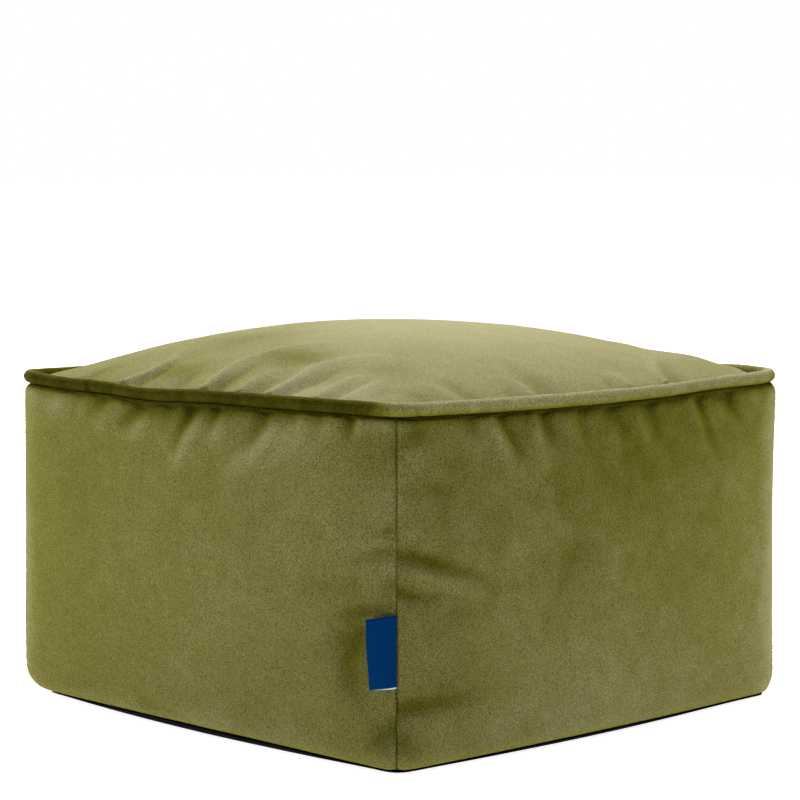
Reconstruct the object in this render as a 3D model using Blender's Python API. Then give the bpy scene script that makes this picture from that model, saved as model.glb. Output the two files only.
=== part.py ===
"""Cube pouf stool in velvet: a filled cloth cube, a piped top seam, a base cloth and a folded side label.

Metres, +Z up. The middle of the base is on the origin, the front faces -Y, and the label is sewn
into the corner at +X, -Y. Sides are counted anticlockwise from above: front, right, back, left.
"""

import math
from collections import namedtuple

import bmesh
import bpy
from mathutils import Vector

# The cloth cube
TOP_HALF = 0.250  # middle of the cube to its corner seams, at the top seam
BASE_HALF = 0.254  # the same at the base seam
TOP_BULGE = 0.025  # how far a side swells past its corner seams, at the top seam
MIDDLE_BULGE = 0.0225
BASE_BULGE = 0.018
TOP_RADIUS = 0.029  # upright corners, seen from above
BASE_RADIUS = 0.027
LEAST_RADIUS = 0.012  # of a ring drawn in under the piping or the base
REACH_FROM = 0.3  # share of a side's half length where its pulled-out corner begins

# Where the side tucks in under the piping, and where it rolls under at the base
LIP_INSET = 0.0015
TUCK_DEPTH = 0.0025
TUCK_HEIGHT = 0.014
ROLL_HEIGHT = 0.027
SEAM_INSET = 0.0095
CORNER_POWER = 5  # how suddenly base seam and top rim change towards a corner

# Crown of the top panel
CROWN_RISE = 0.0445
CROWN_POWER = 0.75
CROWN_CORNER_SINK = 0.8  # share of the crown that is missing towards the corners
CROWN_TO_FRONT_LEFT = 0.18  # share by which the crown is fuller towards that corner
CROWN_TO_BACK_LEFT = 0.25
RIM_RISE = 0.0095  # top panel's edge above the top seam, along a side
RIM_RISE_CORNER = 0.0035

# Piping, base cloth and label
PIPING_HEIGHT = 0.012
PIPING_DEPTH = 0.009
PIPING_SIDES = 8
GROOVE_GAP = 0.0006  # clearance of the flat-sided groove around the piping
GROOVE_ROWS = 4
TOUCH_GAP = 0.0004  # between cloths that lie on each other
BASE_THICKNESS = 0.0016
BASE_SLOPE = 0.0125  # width over which the base cloth comes down to the floor
BASE_SLOPE_SHARES = (0.0, 0.45, 1.0)
LABEL_WIDTH = 0.025
LABEL_HEIGHT = 0.060
LABEL_THICKNESS = 0.0016
LABEL_TOP = 0.1375  # height of its top end at the seam
LABEL_DROP = 0.005  # how much lower the fold hangs than the sewn edge
LABEL_BEND_RADIUS = 0.065
LABEL_STEPS = 8

# Mesh steps
COLUMNS = 40  # along each side
SIDE_ROWS = 14
COLUMN_CROWDING = 0.4  # 0 even, 1 crowded towards the corners
SMOOTHING_ROUNDS = 12
SMOOTH_ANGLE = math.radians(50)

# base_inset is how far the velvet wraps under before its base seam
Corner = namedtuple("Corner", "sign_x sign_y reach seam_height base_rise base_inset")
CORNERS = (
    Corner(sign_x=-1, sign_y=-1, reach=0.008, seam_height=0.295, base_rise=0.0005, base_inset=0.024),
    Corner(sign_x=1, sign_y=-1, reach=0.006, seam_height=0.300, base_rise=0.0025, base_inset=0.0155),
    Corner(sign_x=1, sign_y=1, reach=-0.001, seam_height=0.299, base_rise=0.0004, base_inset=0.015),
    Corner(sign_x=-1, sign_y=1, reach=0.004, seam_height=0.294, base_rise=0.0008, base_inset=0.015),
)

# seam_power is how suddenly the top seam leaves its corners for its own height
Side = namedtuple("Side", "turns seam_height seam_power base_rise")
SIDES = (
    Side(turns=0, seam_height=0.2975, seam_power=2.5, base_rise=0.0062),
    Side(turns=1, seam_height=0.2965, seam_power=2.5, base_rise=0.0048),
    Side(turns=2, seam_height=0.2925, seam_power=4, base_rise=0.0055),
    Side(turns=3, seam_height=0.2920, seam_power=4, base_rise=0.0050),
)
LABEL_CORNER = 1

# Gathers of the side panels. along runs from the side's middle towards its right-hand corner, down from
# the top seam. A ridge stands out (height above 0), a trough lies in.
Pull = namedtuple("Pull", "side along down end_along end_down width height")
SIDE_PULLS = (
    Pull(0, -0.152, 0.006, -0.166, 0.032, 0.011, -0.0030),
    Pull(0, -0.106, 0.006, -0.130, 0.036, 0.011, 0.0026),
    Pull(0, -0.075, 0.006, -0.100, 0.036, 0.011, -0.0030),
    Pull(0, -0.042, 0.008, -0.073, 0.040, 0.011, 0.0026),
    Pull(0, -0.010, 0.006, -0.036, 0.046, 0.012, -0.0032),
    Pull(0, 0.034, 0.006, -0.006, 0.058, 0.012, 0.0034),
    Pull(0, 0.100, 0.006, 0.066, 0.048, 0.013, -0.0032),
    Pull(0, 0.130, 0.006, 0.086, 0.052, 0.012, 0.0036),
    Pull(0, 0.213, 0.142, 0.142, 0.142, 0.009, -0.0018),
    Pull(0, 0.216, 0.172, 0.203, 0.230, 0.016, -0.0040),
    Pull(0, 0.250, 0.257, 0.222, 0.276, 0.012, -0.0034),
    Pull(1, -0.172, 0.006, -0.162, 0.028, 0.011, -0.0022),
    Pull(1, -0.150, 0.006, -0.126, 0.052, 0.010, 0.0030),
    Pull(1, -0.124, 0.008, -0.104, 0.050, 0.010, -0.0030),
    Pull(1, -0.104, 0.008, -0.092, 0.052, 0.009, 0.0026),
    Pull(1, -0.048, 0.008, -0.038, 0.036, 0.012, -0.0026),
    Pull(1, -0.014, 0.008, 0.010, 0.042, 0.011, 0.0024),
    Pull(1, 0.050, 0.012, 0.070, 0.054, 0.013, -0.0030),
    Pull(1, 0.095, 0.006, 0.118, 0.036, 0.011, 0.0024),
    Pull(1, 0.124, 0.012, 0.142, 0.062, 0.010, -0.0028),
    Pull(1, -0.250, 0.110, -0.147, 0.155, 0.010, -0.0044),
    Pull(1, -0.252, 0.142, -0.208, 0.150, 0.010, -0.0030),
    Pull(1, -0.253, 0.240, -0.178, 0.236, 0.012, -0.0040),
    Pull(2, -0.140, 0.006, -0.118, 0.044, 0.012, -0.0028),
    Pull(2, -0.070, 0.006, -0.046, 0.052, 0.012, 0.0030),
    Pull(2, 0.022, 0.006, 0.004, 0.044, 0.012, -0.0030),
    Pull(2, 0.098, 0.006, 0.072, 0.050, 0.012, 0.0030),
    Pull(2, 0.160, 0.006, 0.148, 0.036, 0.011, -0.0026),
    Pull(2, -0.250, 0.130, -0.170, 0.146, 0.011, -0.0034),
    Pull(3, -0.150, 0.006, -0.134, 0.040, 0.012, -0.0028),
    Pull(3, -0.060, 0.006, -0.084, 0.050, 0.012, 0.0030),
    Pull(3, 0.018, 0.006, -0.006, 0.046, 0.012, -0.0030),
    Pull(3, 0.112, 0.006, 0.090, 0.044, 0.012, 0.0028),
    Pull(3, 0.250, 0.190, 0.180, 0.182, 0.011, -0.0032),
)

# Gathers of the top panel, as plan positions from the piping inwards
TopPull = namedtuple("TopPull", "x y end_x end_y width height")
TOP_PULLS = (
    TopPull(-0.093, -0.258, -0.084, -0.190, 0.011, 0.0030),
    TopPull(-0.078, -0.258, -0.072, -0.236, 0.010, -0.0026),
    TopPull(0.006, -0.260, 0.010, -0.150, 0.012, 0.0034),
    TopPull(0.028, -0.260, 0.030, -0.215, 0.011, -0.0032),
    TopPull(0.052, -0.258, 0.050, -0.215, 0.010, 0.0024),
    TopPull(0.074, -0.258, 0.074, -0.228, 0.010, -0.0028),
    TopPull(0.104, -0.256, 0.106, -0.150, 0.012, 0.0036),
    TopPull(0.122, -0.252, 0.122, -0.180, 0.012, -0.0036),
    TopPull(0.158, -0.246, 0.162, -0.190, 0.012, -0.0030),
    TopPull(0.179, -0.242, 0.174, -0.185, 0.012, 0.0028),
    TopPull(0.250, -0.178, 0.198, -0.176, 0.012, 0.0028),
    TopPull(0.250, -0.154, 0.205, -0.150, 0.012, -0.0028),
    TopPull(0.258, -0.095, 0.215, -0.090, 0.012, 0.0030),
    TopPull(0.258, -0.076, 0.185, -0.058, 0.014, -0.0032),
    TopPull(0.262, 0.022, 0.225, 0.026, 0.012, 0.0024),
    TopPull(0.260, 0.074, 0.200, 0.120, 0.012, 0.0032),
    TopPull(0.250, 0.096, 0.206, 0.136, 0.012, -0.0028),
    TopPull(0.110, 0.256, 0.104, 0.180, 0.012, 0.0030),
    TopPull(0.030, 0.260, 0.024, 0.190, 0.012, -0.0030),
    TopPull(-0.070, 0.260, -0.062, 0.170, 0.012, 0.0030),
    TopPull(-0.150, 0.248, -0.146, 0.190, 0.012, -0.0028),
    TopPull(-0.252, 0.130, -0.190, 0.118, 0.012, 0.0030),
    TopPull(-0.260, 0.020, -0.195, 0.030, 0.012, -0.0030),
    TopPull(-0.258, -0.090, -0.200, -0.082, 0.012, 0.0030),
)
PULL_END = 0.22  # share of a gather's length over which it runs out
PULL_FREE_ROWS = 2  # rows under the top seam over which the gathers set in
PULL_CORNER_POWER = 40  # how close to a corner seam the gathers reach
SEAM_RISE_POWER = 4  # how suddenly the base seam lifts away from its corners


def clear_scene():
    for item in list(bpy.data.objects):
        bpy.data.objects.remove(item)


def mix(start, end, share):
    return start + (end - start) * share


def quarter_round(share):
    """How far a quarter-round edge has drawn in, from 0 where it starts to 1 at its end."""
    return 1 - math.sqrt(max(0.0, 1 - share * share))


def column_shares():
    """Places of the columns along a side, from -1 at its left corner to 1 at its right one."""
    shares = []
    for step in range(COLUMNS + 1):
        even = 2 * step / COLUMNS - 1
        shares.append(mix(even, math.sin(even * math.pi / 2), COLUMN_CROWDING))
    return shares


SHARES = column_shares()


def corners_of(side):
    return CORNERS[side], CORNERS[(side + 1) % len(CORNERS)]


def along_side(share, start, middle, end, power):
    """A size that runs between its values at the two corners and leans to its own value in between."""
    straight = mix(start, end, (share + 1) / 2)
    return straight + (middle - (start + end) / 2) * (1 - abs(share) ** power)


def seam_height(side, share):
    start, end = corners_of(side)
    middle, power = SIDES[side].seam_height, SIDES[side].seam_power
    return along_side(share, start.seam_height, middle, end.seam_height, power)


def base_rise(side, share):
    start, end = corners_of(side)
    middle = SIDES[side].base_rise
    return along_side(share, start.base_rise, middle, end.base_rise, SEAM_RISE_POWER)


def base_inset(side, share):
    start, end = corners_of(side)
    corner = start if share < 0 else end
    return mix(SEAM_INSET, corner.base_inset, abs(share) ** CORNER_POWER)


def side_outline(share, half, bulge, radius):
    """A point of a bulged side with rounded corners: (along, outwards). Share 1 is mid-corner."""
    arc = (half * half + bulge * bulge) / (2 * bulge)
    centre = half + bulge - arc
    corner = (centre + math.sqrt(2 * (arc - radius) ** 2 - centre * centre)) / 2
    turn = math.atan2(corner, corner - centre)
    travelled = abs(share) * (arc * turn + radius * (math.pi / 4 - turn))
    if travelled < arc * turn:
        angle = travelled / arc
        along = arc * math.sin(angle)
        outwards = centre + arc * math.cos(angle)
    else:
        angle = turn + (travelled - arc * turn) / radius
        along = corner + radius * math.sin(angle)
        outwards = corner + radius * math.cos(angle)
    return math.copysign(along, share), outwards


def ring_point(side, share, half, bulge, radius, inset, height):
    """A point on the ring around the cube at one level, drawn in by inset."""
    along, outwards = side_outline(share, half - inset, bulge, max(radius - inset / 2, LEAST_RADIUS))
    point = Vector((along, -outwards, height))
    for _ in range(SIDES[side].turns):
        point = Vector((-point.y, point.x, point.z))
    start, end = corners_of(side)
    for corner, towards in ((start, -share), (end, share)):
        pull = max(0.0, (towards - REACH_FROM) / (1 - REACH_FROM)) ** 2
        point.x += corner.reach * corner.sign_x * pull * math.sqrt(0.5)
        point.y += corner.reach * corner.sign_y * pull * math.sqrt(0.5)
    return point


def gather_height(gathers, x, y):
    """How far the gathers of a panel push its cloth out at (x, y) of that panel."""
    total = 0.0
    for start_x, start_y, end_x, end_y, width, height in gathers:
        run_x, run_y = end_x - start_x, end_y - start_y
        length = math.hypot(run_x, run_y)
        run = ((x - start_x) * run_x + (y - start_y) * run_y) / length**2
        beyond = max(-run, run - 1, 0.0) / PULL_END
        across = ((x - start_x) * run_y - (y - start_y) * run_x) / length
        total += height * math.exp(-((across / width) ** 2) - beyond**2)
    return total


def side_gather(side, along, down):
    return gather_height([pull[1:] for pull in SIDE_PULLS if pull.side == side], along, down)


def top_point(side, share, inset, rise):
    """A point near the top seam: inset from the side's face, rise above the seam."""
    height = seam_height(side, share) + rise
    return ring_point(side, share, TOP_HALF, TOP_BULGE, TOP_RADIUS, inset, height)


def piping_section(angle, gap):
    """A point of the piping's oval section, or of the groove a gap away: (inset, rise)."""
    inset = PIPING_DEPTH / 2 + (PIPING_DEPTH / 2 + gap) * math.cos(angle)
    rise = TOUCH_GAP + PIPING_HEIGHT / 2 + (PIPING_HEIGHT / 2 + gap) * math.sin(angle)
    return inset, rise


def groove_point(side, share, row):
    """Rows of the groove that holds the piping, from the top panel's edge (0) to the bottom."""
    edge_rise = mix(RIM_RISE, RIM_RISE_CORNER, abs(share) ** CORNER_POWER)
    middle = TOUCH_GAP + PIPING_HEIGHT / 2
    start = math.asin((edge_rise - middle) / (PIPING_HEIGHT / 2 + GROOVE_GAP))
    angle = mix(start, -math.pi / 2, row / GROOVE_ROWS)
    inset, rise = piping_section(angle, GROOVE_GAP)
    return top_point(side, share, inset, rise)


def side_point(side, share, row):
    """Rows of a side panel, from the lip under the piping (0) to the base seam."""
    top = seam_height(side, share)
    bottom = base_rise(side, share) + BASE_THICKNESS + TOUCH_GAP
    level = 0.5 + 0.5 * math.cos(math.pi * row / SIDE_ROWS)
    height = mix(bottom, top, level)
    tuck = max(0.0, 1 - (top - height) / TUCK_HEIGHT)
    roll = max(0.0, 1 - (height - bottom) / ROLL_HEIGHT)
    inset = LIP_INSET * level + TUCK_DEPTH * quarter_round(tuck)
    inset += base_inset(side, share) * quarter_round(roll)
    lower, upper = (BASE_BULGE, MIDDLE_BULGE) if level < 0.5 else (TOP_BULGE, MIDDLE_BULGE)
    bulge = mix(lower, upper, math.sin(math.pi * level))
    half = mix(BASE_HALF, TOP_HALF, level)
    radius = mix(BASE_RADIUS, TOP_RADIUS, level)
    along, _ = side_outline(share, half, bulge, radius)
    fade = min(1.0, row / PULL_FREE_ROWS) * (1 - roll) * (1 - abs(share) ** PULL_CORNER_POWER)
    inset -= side_gather(side, along, top - height) * fade
    return ring_point(side, share, half, bulge, radius, inset, height)


def base_point(side, share, slope_share, lift):
    """The sloped border of the base cloth, from its seam (0) to the floor (1), raised by lift."""
    inset = base_inset(side, share) + BASE_SLOPE * slope_share
    height = base_rise(side, share) * (1 - slope_share) ** 2 + lift
    return ring_point(side, share, BASE_HALF, BASE_BULGE, BASE_RADIUS, inset, height)


def around(place):
    """place(side, share) for each column around the cube, corners once."""
    return [place(side, share) for side in range(len(SIDES)) for share in SHARES[:-1]]


def ring_edges(mesh, ring):
    """The closed loop of edges through a ring of vertices, made where they are missing."""
    edges = []
    for start, end in zip(ring, ring[1:] + ring[:1]):
        edges.append(mesh.edges.get((start, end)) or mesh.edges.new((start, end)))
    return edges


def extrude_ring(mesh, ring, points):
    """Extrudes a closed ring of vertices onto the next ring of points and returns the new ring."""
    made = bmesh.ops.extrude_edge_only(mesh, edges=ring_edges(mesh, ring))
    fresh = {item for item in made["geom"] if isinstance(item, bmesh.types.BMVert)}
    following = []
    for vertex, point in zip(ring, points):
        partners = [edge.other_vert(vertex) for edge in vertex.link_edges]
        partner = next(other for other in partners if other in fresh)
        partner.co = point
        following.append(partner)
    return following


def close_ring(mesh, ring):
    mesh.faces.new(ring)


def finish_object(mesh, name, colour, roughness):
    """Turns a finished mesh into an object with its own material."""
    bmesh.ops.recalc_face_normals(mesh, faces=mesh.faces)
    data = bpy.data.meshes.new(name)
    mesh.to_mesh(data)
    mesh.free()
    data.shade_smooth()
    data.set_sharp_from_angle(angle=SMOOTH_ANGLE)
    item = bpy.data.objects.new(name, data)
    bpy.context.scene.collection.objects.link(item)
    material = bpy.data.materials.new(name + "_cloth")
    material.use_nodes = True
    shader = material.node_tree.nodes["Principled BSDF"]
    shader.inputs["Base Color"].default_value = (*colour, 1)
    shader.inputs["Roughness"].default_value = roughness
    shader.inputs["Metallic"].default_value = 0
    data.materials.append(material)
    return item


def crown_rise(across, deep):
    """Rise of the domed top panel at shares (-1 to 1) of its width and depth."""
    swell = ((1 - across * across) * (1 - deep * deep)) ** CROWN_POWER
    lean = CROWN_TO_FRONT_LEFT * (across + deep) / 2 + CROWN_TO_BACK_LEFT * (across - deep) / 2
    sink = CROWN_CORNER_SINK * (across * deep) ** 2
    return CROWN_RISE * swell * (1 - sink) * (1 - lean)


def panel_point(column, row, rim):
    """A point of the top panel, stretched between the four rims."""
    across, deep = (SHARES[column] + 1) / 2, (SHARES[row] + 1) / 2
    front, right, back, left = rim
    point = front[column] * (1 - deep) + back[-1 - column] * deep
    point += left[-1 - row] * (1 - across) + right[row] * across
    point -= (front[0] * (1 - across) + front[-1] * across) * (1 - deep)
    point -= (back[-1] * (1 - across) + back[0] * across) * deep
    return point


def smooth_panel(points):
    """Evens out the plan of a grid of points, which the round corners crowd together."""
    inner = range(1, COLUMNS)
    for _ in range(SMOOTHING_ROUNDS):
        before = [[point.copy() for point in line] for line in points]
        for row in inner:
            for column in inner:
                near = before[row - 1][column] + before[row + 1][column]
                near += before[row][column - 1] + before[row][column + 1]
                points[row][column] = before[row][column].lerp(near / 4, 0.5)


def top_panel_points():
    rim = []
    for side in range(len(SIDES)):
        rim.append([groove_point(side, share, 0) for share in SHARES])
    steps = range(COLUMNS + 1)
    points = [[panel_point(column, row, rim) for column in steps] for row in steps]
    smooth_panel(points)
    for row in range(1, COLUMNS):
        for column in range(1, COLUMNS):
            point = points[row][column]
            point.z += crown_rise(SHARES[column], SHARES[row])
            point.z += gather_height(TOP_PULLS, point.x, point.y)
    return points


def make_body():
    """The filled cloth cube: the top panel is a grid, and its rim is extruded down the four sides."""
    mesh = bmesh.new()
    grid = bmesh.ops.create_grid(mesh, x_segments=COLUMNS, y_segments=COLUMNS, size=1)["verts"]
    points = top_panel_points()
    placed = {}
    for vertex in grid:
        column = round((vertex.co.x + 1) / 2 * COLUMNS)
        row = round((vertex.co.y + 1) / 2 * COLUMNS)
        placed[column, row] = vertex
    for (column, row), vertex in placed.items():
        vertex.co = points[row][column]
    last = COLUMNS
    ring = [placed[step, 0] for step in range(last)]
    ring += [placed[last, step] for step in range(last)]
    ring += [placed[last - step, last] for step in range(last)]
    ring += [placed[0, last - step] for step in range(last)]
    for row in range(1, GROOVE_ROWS + 1):
        ring = extrude_ring(mesh, ring, around(lambda side, share: groove_point(side, share, row)))
    for row in range(SIDE_ROWS + 1):
        ring = extrude_ring(mesh, ring, around(lambda side, share: side_point(side, share, row)))
    lift = BASE_THICKNESS + TOUCH_GAP
    for slope in BASE_SLOPE_SHARES[1:]:
        points = around(lambda side, share: base_point(side, share, slope, lift))
        ring = extrude_ring(mesh, ring, points)
    close_ring(mesh, ring)
    return finish_object(mesh, "velvet_cube", colour=(0.19, 0.175, 0.055), roughness=0.85)


def make_piping():
    """The covered cord around the top seam: an oval section carried round the cube."""
    mesh = bmesh.new()
    rings = []
    for step in range(PIPING_SIDES):
        inset, rise = piping_section(2 * math.pi * step / PIPING_SIDES, 0)
        points = around(lambda side, share: top_point(side, share, inset, rise))
        rings.append([mesh.verts.new(point) for point in points])
    for ring, following in zip(rings, rings[1:] + rings[:1]):
        for place in range(len(ring)):
            mesh.faces.new((ring[place - 1], ring[place], following[place], following[place - 1]))
    return finish_object(mesh, "top_piping", colour=(0.16, 0.148, 0.046), roughness=0.85)


def make_base():
    """The base cloth: flat on the floor, its border curving up to the base seam."""
    mesh = bmesh.new()
    first = around(lambda side, share: base_point(side, share, 1.0, BASE_THICKNESS))
    ring = [mesh.verts.new(point) for point in first]
    close_ring(mesh, ring)
    for slope in reversed(BASE_SLOPE_SHARES[:-1]):
        points = around(lambda side, share: base_point(side, share, slope, BASE_THICKNESS))
        ring = extrude_ring(mesh, ring, points)
    for slope in BASE_SLOPE_SHARES:
        ring = extrude_ring(mesh, ring, around(lambda side, share: base_point(side, share, slope, 0)))
    close_ring(mesh, ring)
    return finish_object(mesh, "base_cloth", colour=(0.012, 0.012, 0.013), roughness=0.9)


def label_outline():
    """The folded label seen from above: it leaves the corner seam and bends back along the front."""
    corner = CORNERS[LABEL_CORNER]
    level = LABEL_TOP - LABEL_HEIGHT / 2
    share_of_height = level / corner.seam_height
    half = mix(BASE_HALF, TOP_HALF, share_of_height)
    radius = mix(BASE_RADIUS, TOP_RADIUS, share_of_height)
    root = ring_point(LABEL_CORNER, -1, half, MIDDLE_BULGE, radius, 0, 0)
    outwards = Vector((corner.sign_x, corner.sign_y, 0)).normalized()
    place = root + outwards * (TOUCH_GAP + LABEL_THICKNESS / 2)
    outer, inner = [], []
    for step in range(LABEL_STEPS + 1):
        travelled = LABEL_WIDTH * step / LABEL_STEPS
        angle = -3 * math.pi / 4 - travelled / LABEL_BEND_RADIUS
        ahead = Vector((math.cos(angle), math.sin(angle), 0))
        across = Vector((-ahead.y, ahead.x, 0)) * LABEL_THICKNESS / 2
        outer.append((place + across, travelled))
        inner.append((place - across, travelled))
        place = place + ahead * LABEL_WIDTH / LABEL_STEPS
    return outer + inner[::-1]


def make_label():
    """A bare woven label, folded in two and sewn into the corner seam."""
    mesh = bmesh.new()
    lower, upper = [], []
    for point, travelled in label_outline():
        height = LABEL_TOP - LABEL_DROP * travelled / LABEL_WIDTH
        upper.append(Vector((point.x, point.y, height)))
        lower.append(Vector((point.x, point.y, height - LABEL_HEIGHT)))
    ring = [mesh.verts.new(point) for point in lower]
    last = len(ring) - 1
    top = extrude_ring(mesh, ring, upper)
    for loop in (ring, top):
        for step in range(LABEL_STEPS):
            mesh.faces.new((loop[step], loop[step + 1], loop[last - step - 1], loop[last - step]))
    return finish_object(mesh, "side_label", colour=(0.004, 0.03, 0.11), roughness=0.8)


def main():
    clear_scene()
    make_body()
    make_piping()
    make_base()
    make_label()


main()
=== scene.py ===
# Cube pouf stool in velvet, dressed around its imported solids. Metres, +Z up, the front side faces -Y.
import math

import bmesh
import bpy
import numpy as np
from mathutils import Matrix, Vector, noise


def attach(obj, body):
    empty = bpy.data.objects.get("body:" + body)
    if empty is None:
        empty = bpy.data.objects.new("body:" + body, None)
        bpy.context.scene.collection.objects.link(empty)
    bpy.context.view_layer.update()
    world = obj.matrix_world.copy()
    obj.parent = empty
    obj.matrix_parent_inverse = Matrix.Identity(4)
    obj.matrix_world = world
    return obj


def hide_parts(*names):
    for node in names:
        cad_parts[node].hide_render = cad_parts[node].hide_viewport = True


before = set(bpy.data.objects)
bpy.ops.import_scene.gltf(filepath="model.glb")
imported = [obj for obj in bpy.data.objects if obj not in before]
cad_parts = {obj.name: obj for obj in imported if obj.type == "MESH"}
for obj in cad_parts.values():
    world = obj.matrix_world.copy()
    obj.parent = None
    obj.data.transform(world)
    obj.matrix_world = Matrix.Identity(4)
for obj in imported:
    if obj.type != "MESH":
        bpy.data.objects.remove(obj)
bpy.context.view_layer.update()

body = "root"

# where the picture is taken from
cameraView = {
    "azimuth": 45.9,  # degrees, 0 looks along +Y
    "elevation": 5.81,
    "distance": 2.750,
    "aimHeight": 0.279,
    "sideStep": -0.0027,  # of the aim, to the right
    "lens": 131.8,
    "sensor": 36.0,
    "farthest": 50,
}


def viewAxes(azimuth, elevation):
    # unit vectors towards the viewer, to the right and up
    turn, lift = math.radians(azimuth), math.radians(elevation)
    back = Vector((math.sin(turn) * math.cos(lift), -math.cos(turn) * math.cos(lift), math.sin(lift)))
    right = Vector((math.cos(turn), math.sin(turn), 0))
    return back, right, back.cross(right)


def lookAt(name, data, aim, back, distance):
    # a camera or light that looks at its aim from a distance
    item = bpy.data.objects.new(name, data)
    item.location = aim + back * distance
    item.rotation_euler = back.to_track_quat("Z", "Y").to_euler()
    bpy.context.scene.collection.objects.link(item)
    return item


def makeCamera():
    back, right, _ = viewAxes(cameraView["azimuth"], cameraView["elevation"])
    data = bpy.data.cameras.new("photoCamera")
    data.lens = cameraView["lens"]
    data.sensor_width = cameraView["sensor"]
    data.clip_end = cameraView["farthest"]
    aim = Vector((0, 0, cameraView["aimHeight"])) + right * cameraView["sideStep"]
    bpy.context.scene.camera = lookAt("photoCamera", data, aim, back, cameraView["distance"])


studio = {
    "white": (1.0, 1.0, 1.0),
    "roomGlow": 0.25,
    "floorColour": (0.9, 0.9, 0.9),
    "floorGlow": 0.92,
    "floorRoughness": 0.9,
    "floorSize": 30.0,
    "lightSize": 1.8,
    "lightDistance": 3.0,
    "lightAim": 0.2,  # height that the lights look at
    # each soft light: azimuth, elevation and watts
    "lights": {
        "rearLeftBox": (-104, 40, 62),
        "leftBox": (-64, 40, 15),
        "overheadBox": (201, 70, 85),
        "rearBox": (201, 35, 15),
    },
}


def makeStudio():
    scene = bpy.context.scene
    scene.view_settings.view_transform = "Standard"
    world = bpy.data.worlds.new("paleRoom")
    scene.world = world
    world.use_nodes = True
    nodes, links = world.node_tree.nodes, world.node_tree.links
    background = nodes["Background"]
    background.inputs["Color"].default_value = (*studio["white"], 1)
    seen = nodes.new("ShaderNodeLightPath")
    glow = nodes.new("ShaderNodeMapRange")  # the backdrop is plain white, the room's light is softer
    glow.inputs["To Min"].default_value = studio["roomGlow"]
    glow.inputs["To Max"].default_value = 1.0
    links.new(seen.outputs["Is Camera Ray"], glow.inputs["Value"])
    links.new(glow.outputs["Result"], background.inputs["Strength"])
    for name, (azimuth, elevation, watts) in studio["lights"].items():
        data = bpy.data.lights.new(name, "AREA")
        data.shape = "DISK"
        data.size = studio["lightSize"]
        data.energy = watts
        back, _, _ = viewAxes(azimuth, elevation)
        lookAt(name, data, Vector((0, 0, studio["lightAim"])), back, studio["lightDistance"])
    reach = studio["floorSize"] / 2
    edge = [(-reach, -reach, 0), (reach, -reach, 0), (reach, reach, 0), (-reach, reach, 0)]
    floor = meshObject("studioFloor", edge, [(0, 1, 2, 3)])
    material, shader = newMaterial("palePaper", studio["floorRoughness"])
    shader.inputs["Base Color"].default_value = (*studio["floorColour"], 1)
    shader.inputs["Emission Color"].default_value = (*studio["white"], 1)
    shader.inputs["Emission Strength"].default_value = studio["floorGlow"]
    floor.data.materials.append(material)


def mix(start, end, share):
    return start + (end - start) * share


def smoothStep(share):
    share = np.clip(share, 0, 1)
    return share * share * (3 - 2 * share)


def evenShares(count):
    # -1 to 1 in even steps
    return [2 * step / count - 1 for step in range(count + 1)]


def quarterRound(share):
    # how far a quarter-round edge has drawn in, 0 where it starts and 1 at its end
    return 1 - math.sqrt(max(0.0, 1 - share * share))


def meshObject(name, points, faces):
    data = bpy.data.meshes.new(name)
    data.from_pydata(points, [], faces)
    data.update()
    data.shade_smooth()
    item = bpy.data.objects.new(name, data)
    bpy.context.scene.collection.objects.link(item)
    return item


def gridFaces(rows, columns):
    wide = columns + 1
    firsts = [row * wide + column for row in range(rows) for column in range(columns)]
    return [(first, first + 1, first + 1 + wide, first + wide) for first in firsts]


def newMaterial(name, roughness):
    material = bpy.data.materials.new(name)
    material.use_nodes = True
    shader = material.node_tree.nodes["Principled BSDF"]
    shader.inputs["Roughness"].default_value = roughness
    return material, shader


def meshPoints(data):
    points = np.empty(len(data.vertices) * 3)
    data.vertices.foreach_get("co", points)
    return points.reshape(-1, 3)


def setMeshPoints(data, points):
    data.vertices.foreach_set("co", points.astype(np.float32).ravel())
    data.update()


def meshNormals(data):
    normals = np.empty(len(data.vertices) * 3)
    data.vertex_normals.foreach_get("vector", normals)
    return normals.reshape(-1, 3)


def pushOut(item, points, amounts):
    # moves the points along their normals, and gives their new places
    places = points + meshNormals(item.data) * amounts[:, None]
    setMeshPoints(item.data, places)
    return places


def markNapAndLight(item, tone):
    # the lay of the pile at each point, with painted shade and highlights, for the velvet's shader
    mark = item.data.attributes.new("nap", "FLOAT", "POINT")
    mark.data.foreach_set("value", tone.astype(np.float32))


def applyModifiers(item):
    # puts the shape after the modifiers into the mesh itself
    shaped = item.evaluated_get(bpy.context.evaluated_depsgraph_get())
    data = bpy.data.meshes.new_from_object(shaped)
    old = item.data
    item.modifiers.clear()
    item.data = data
    data.name = old.name
    bpy.data.meshes.remove(old)


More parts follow.
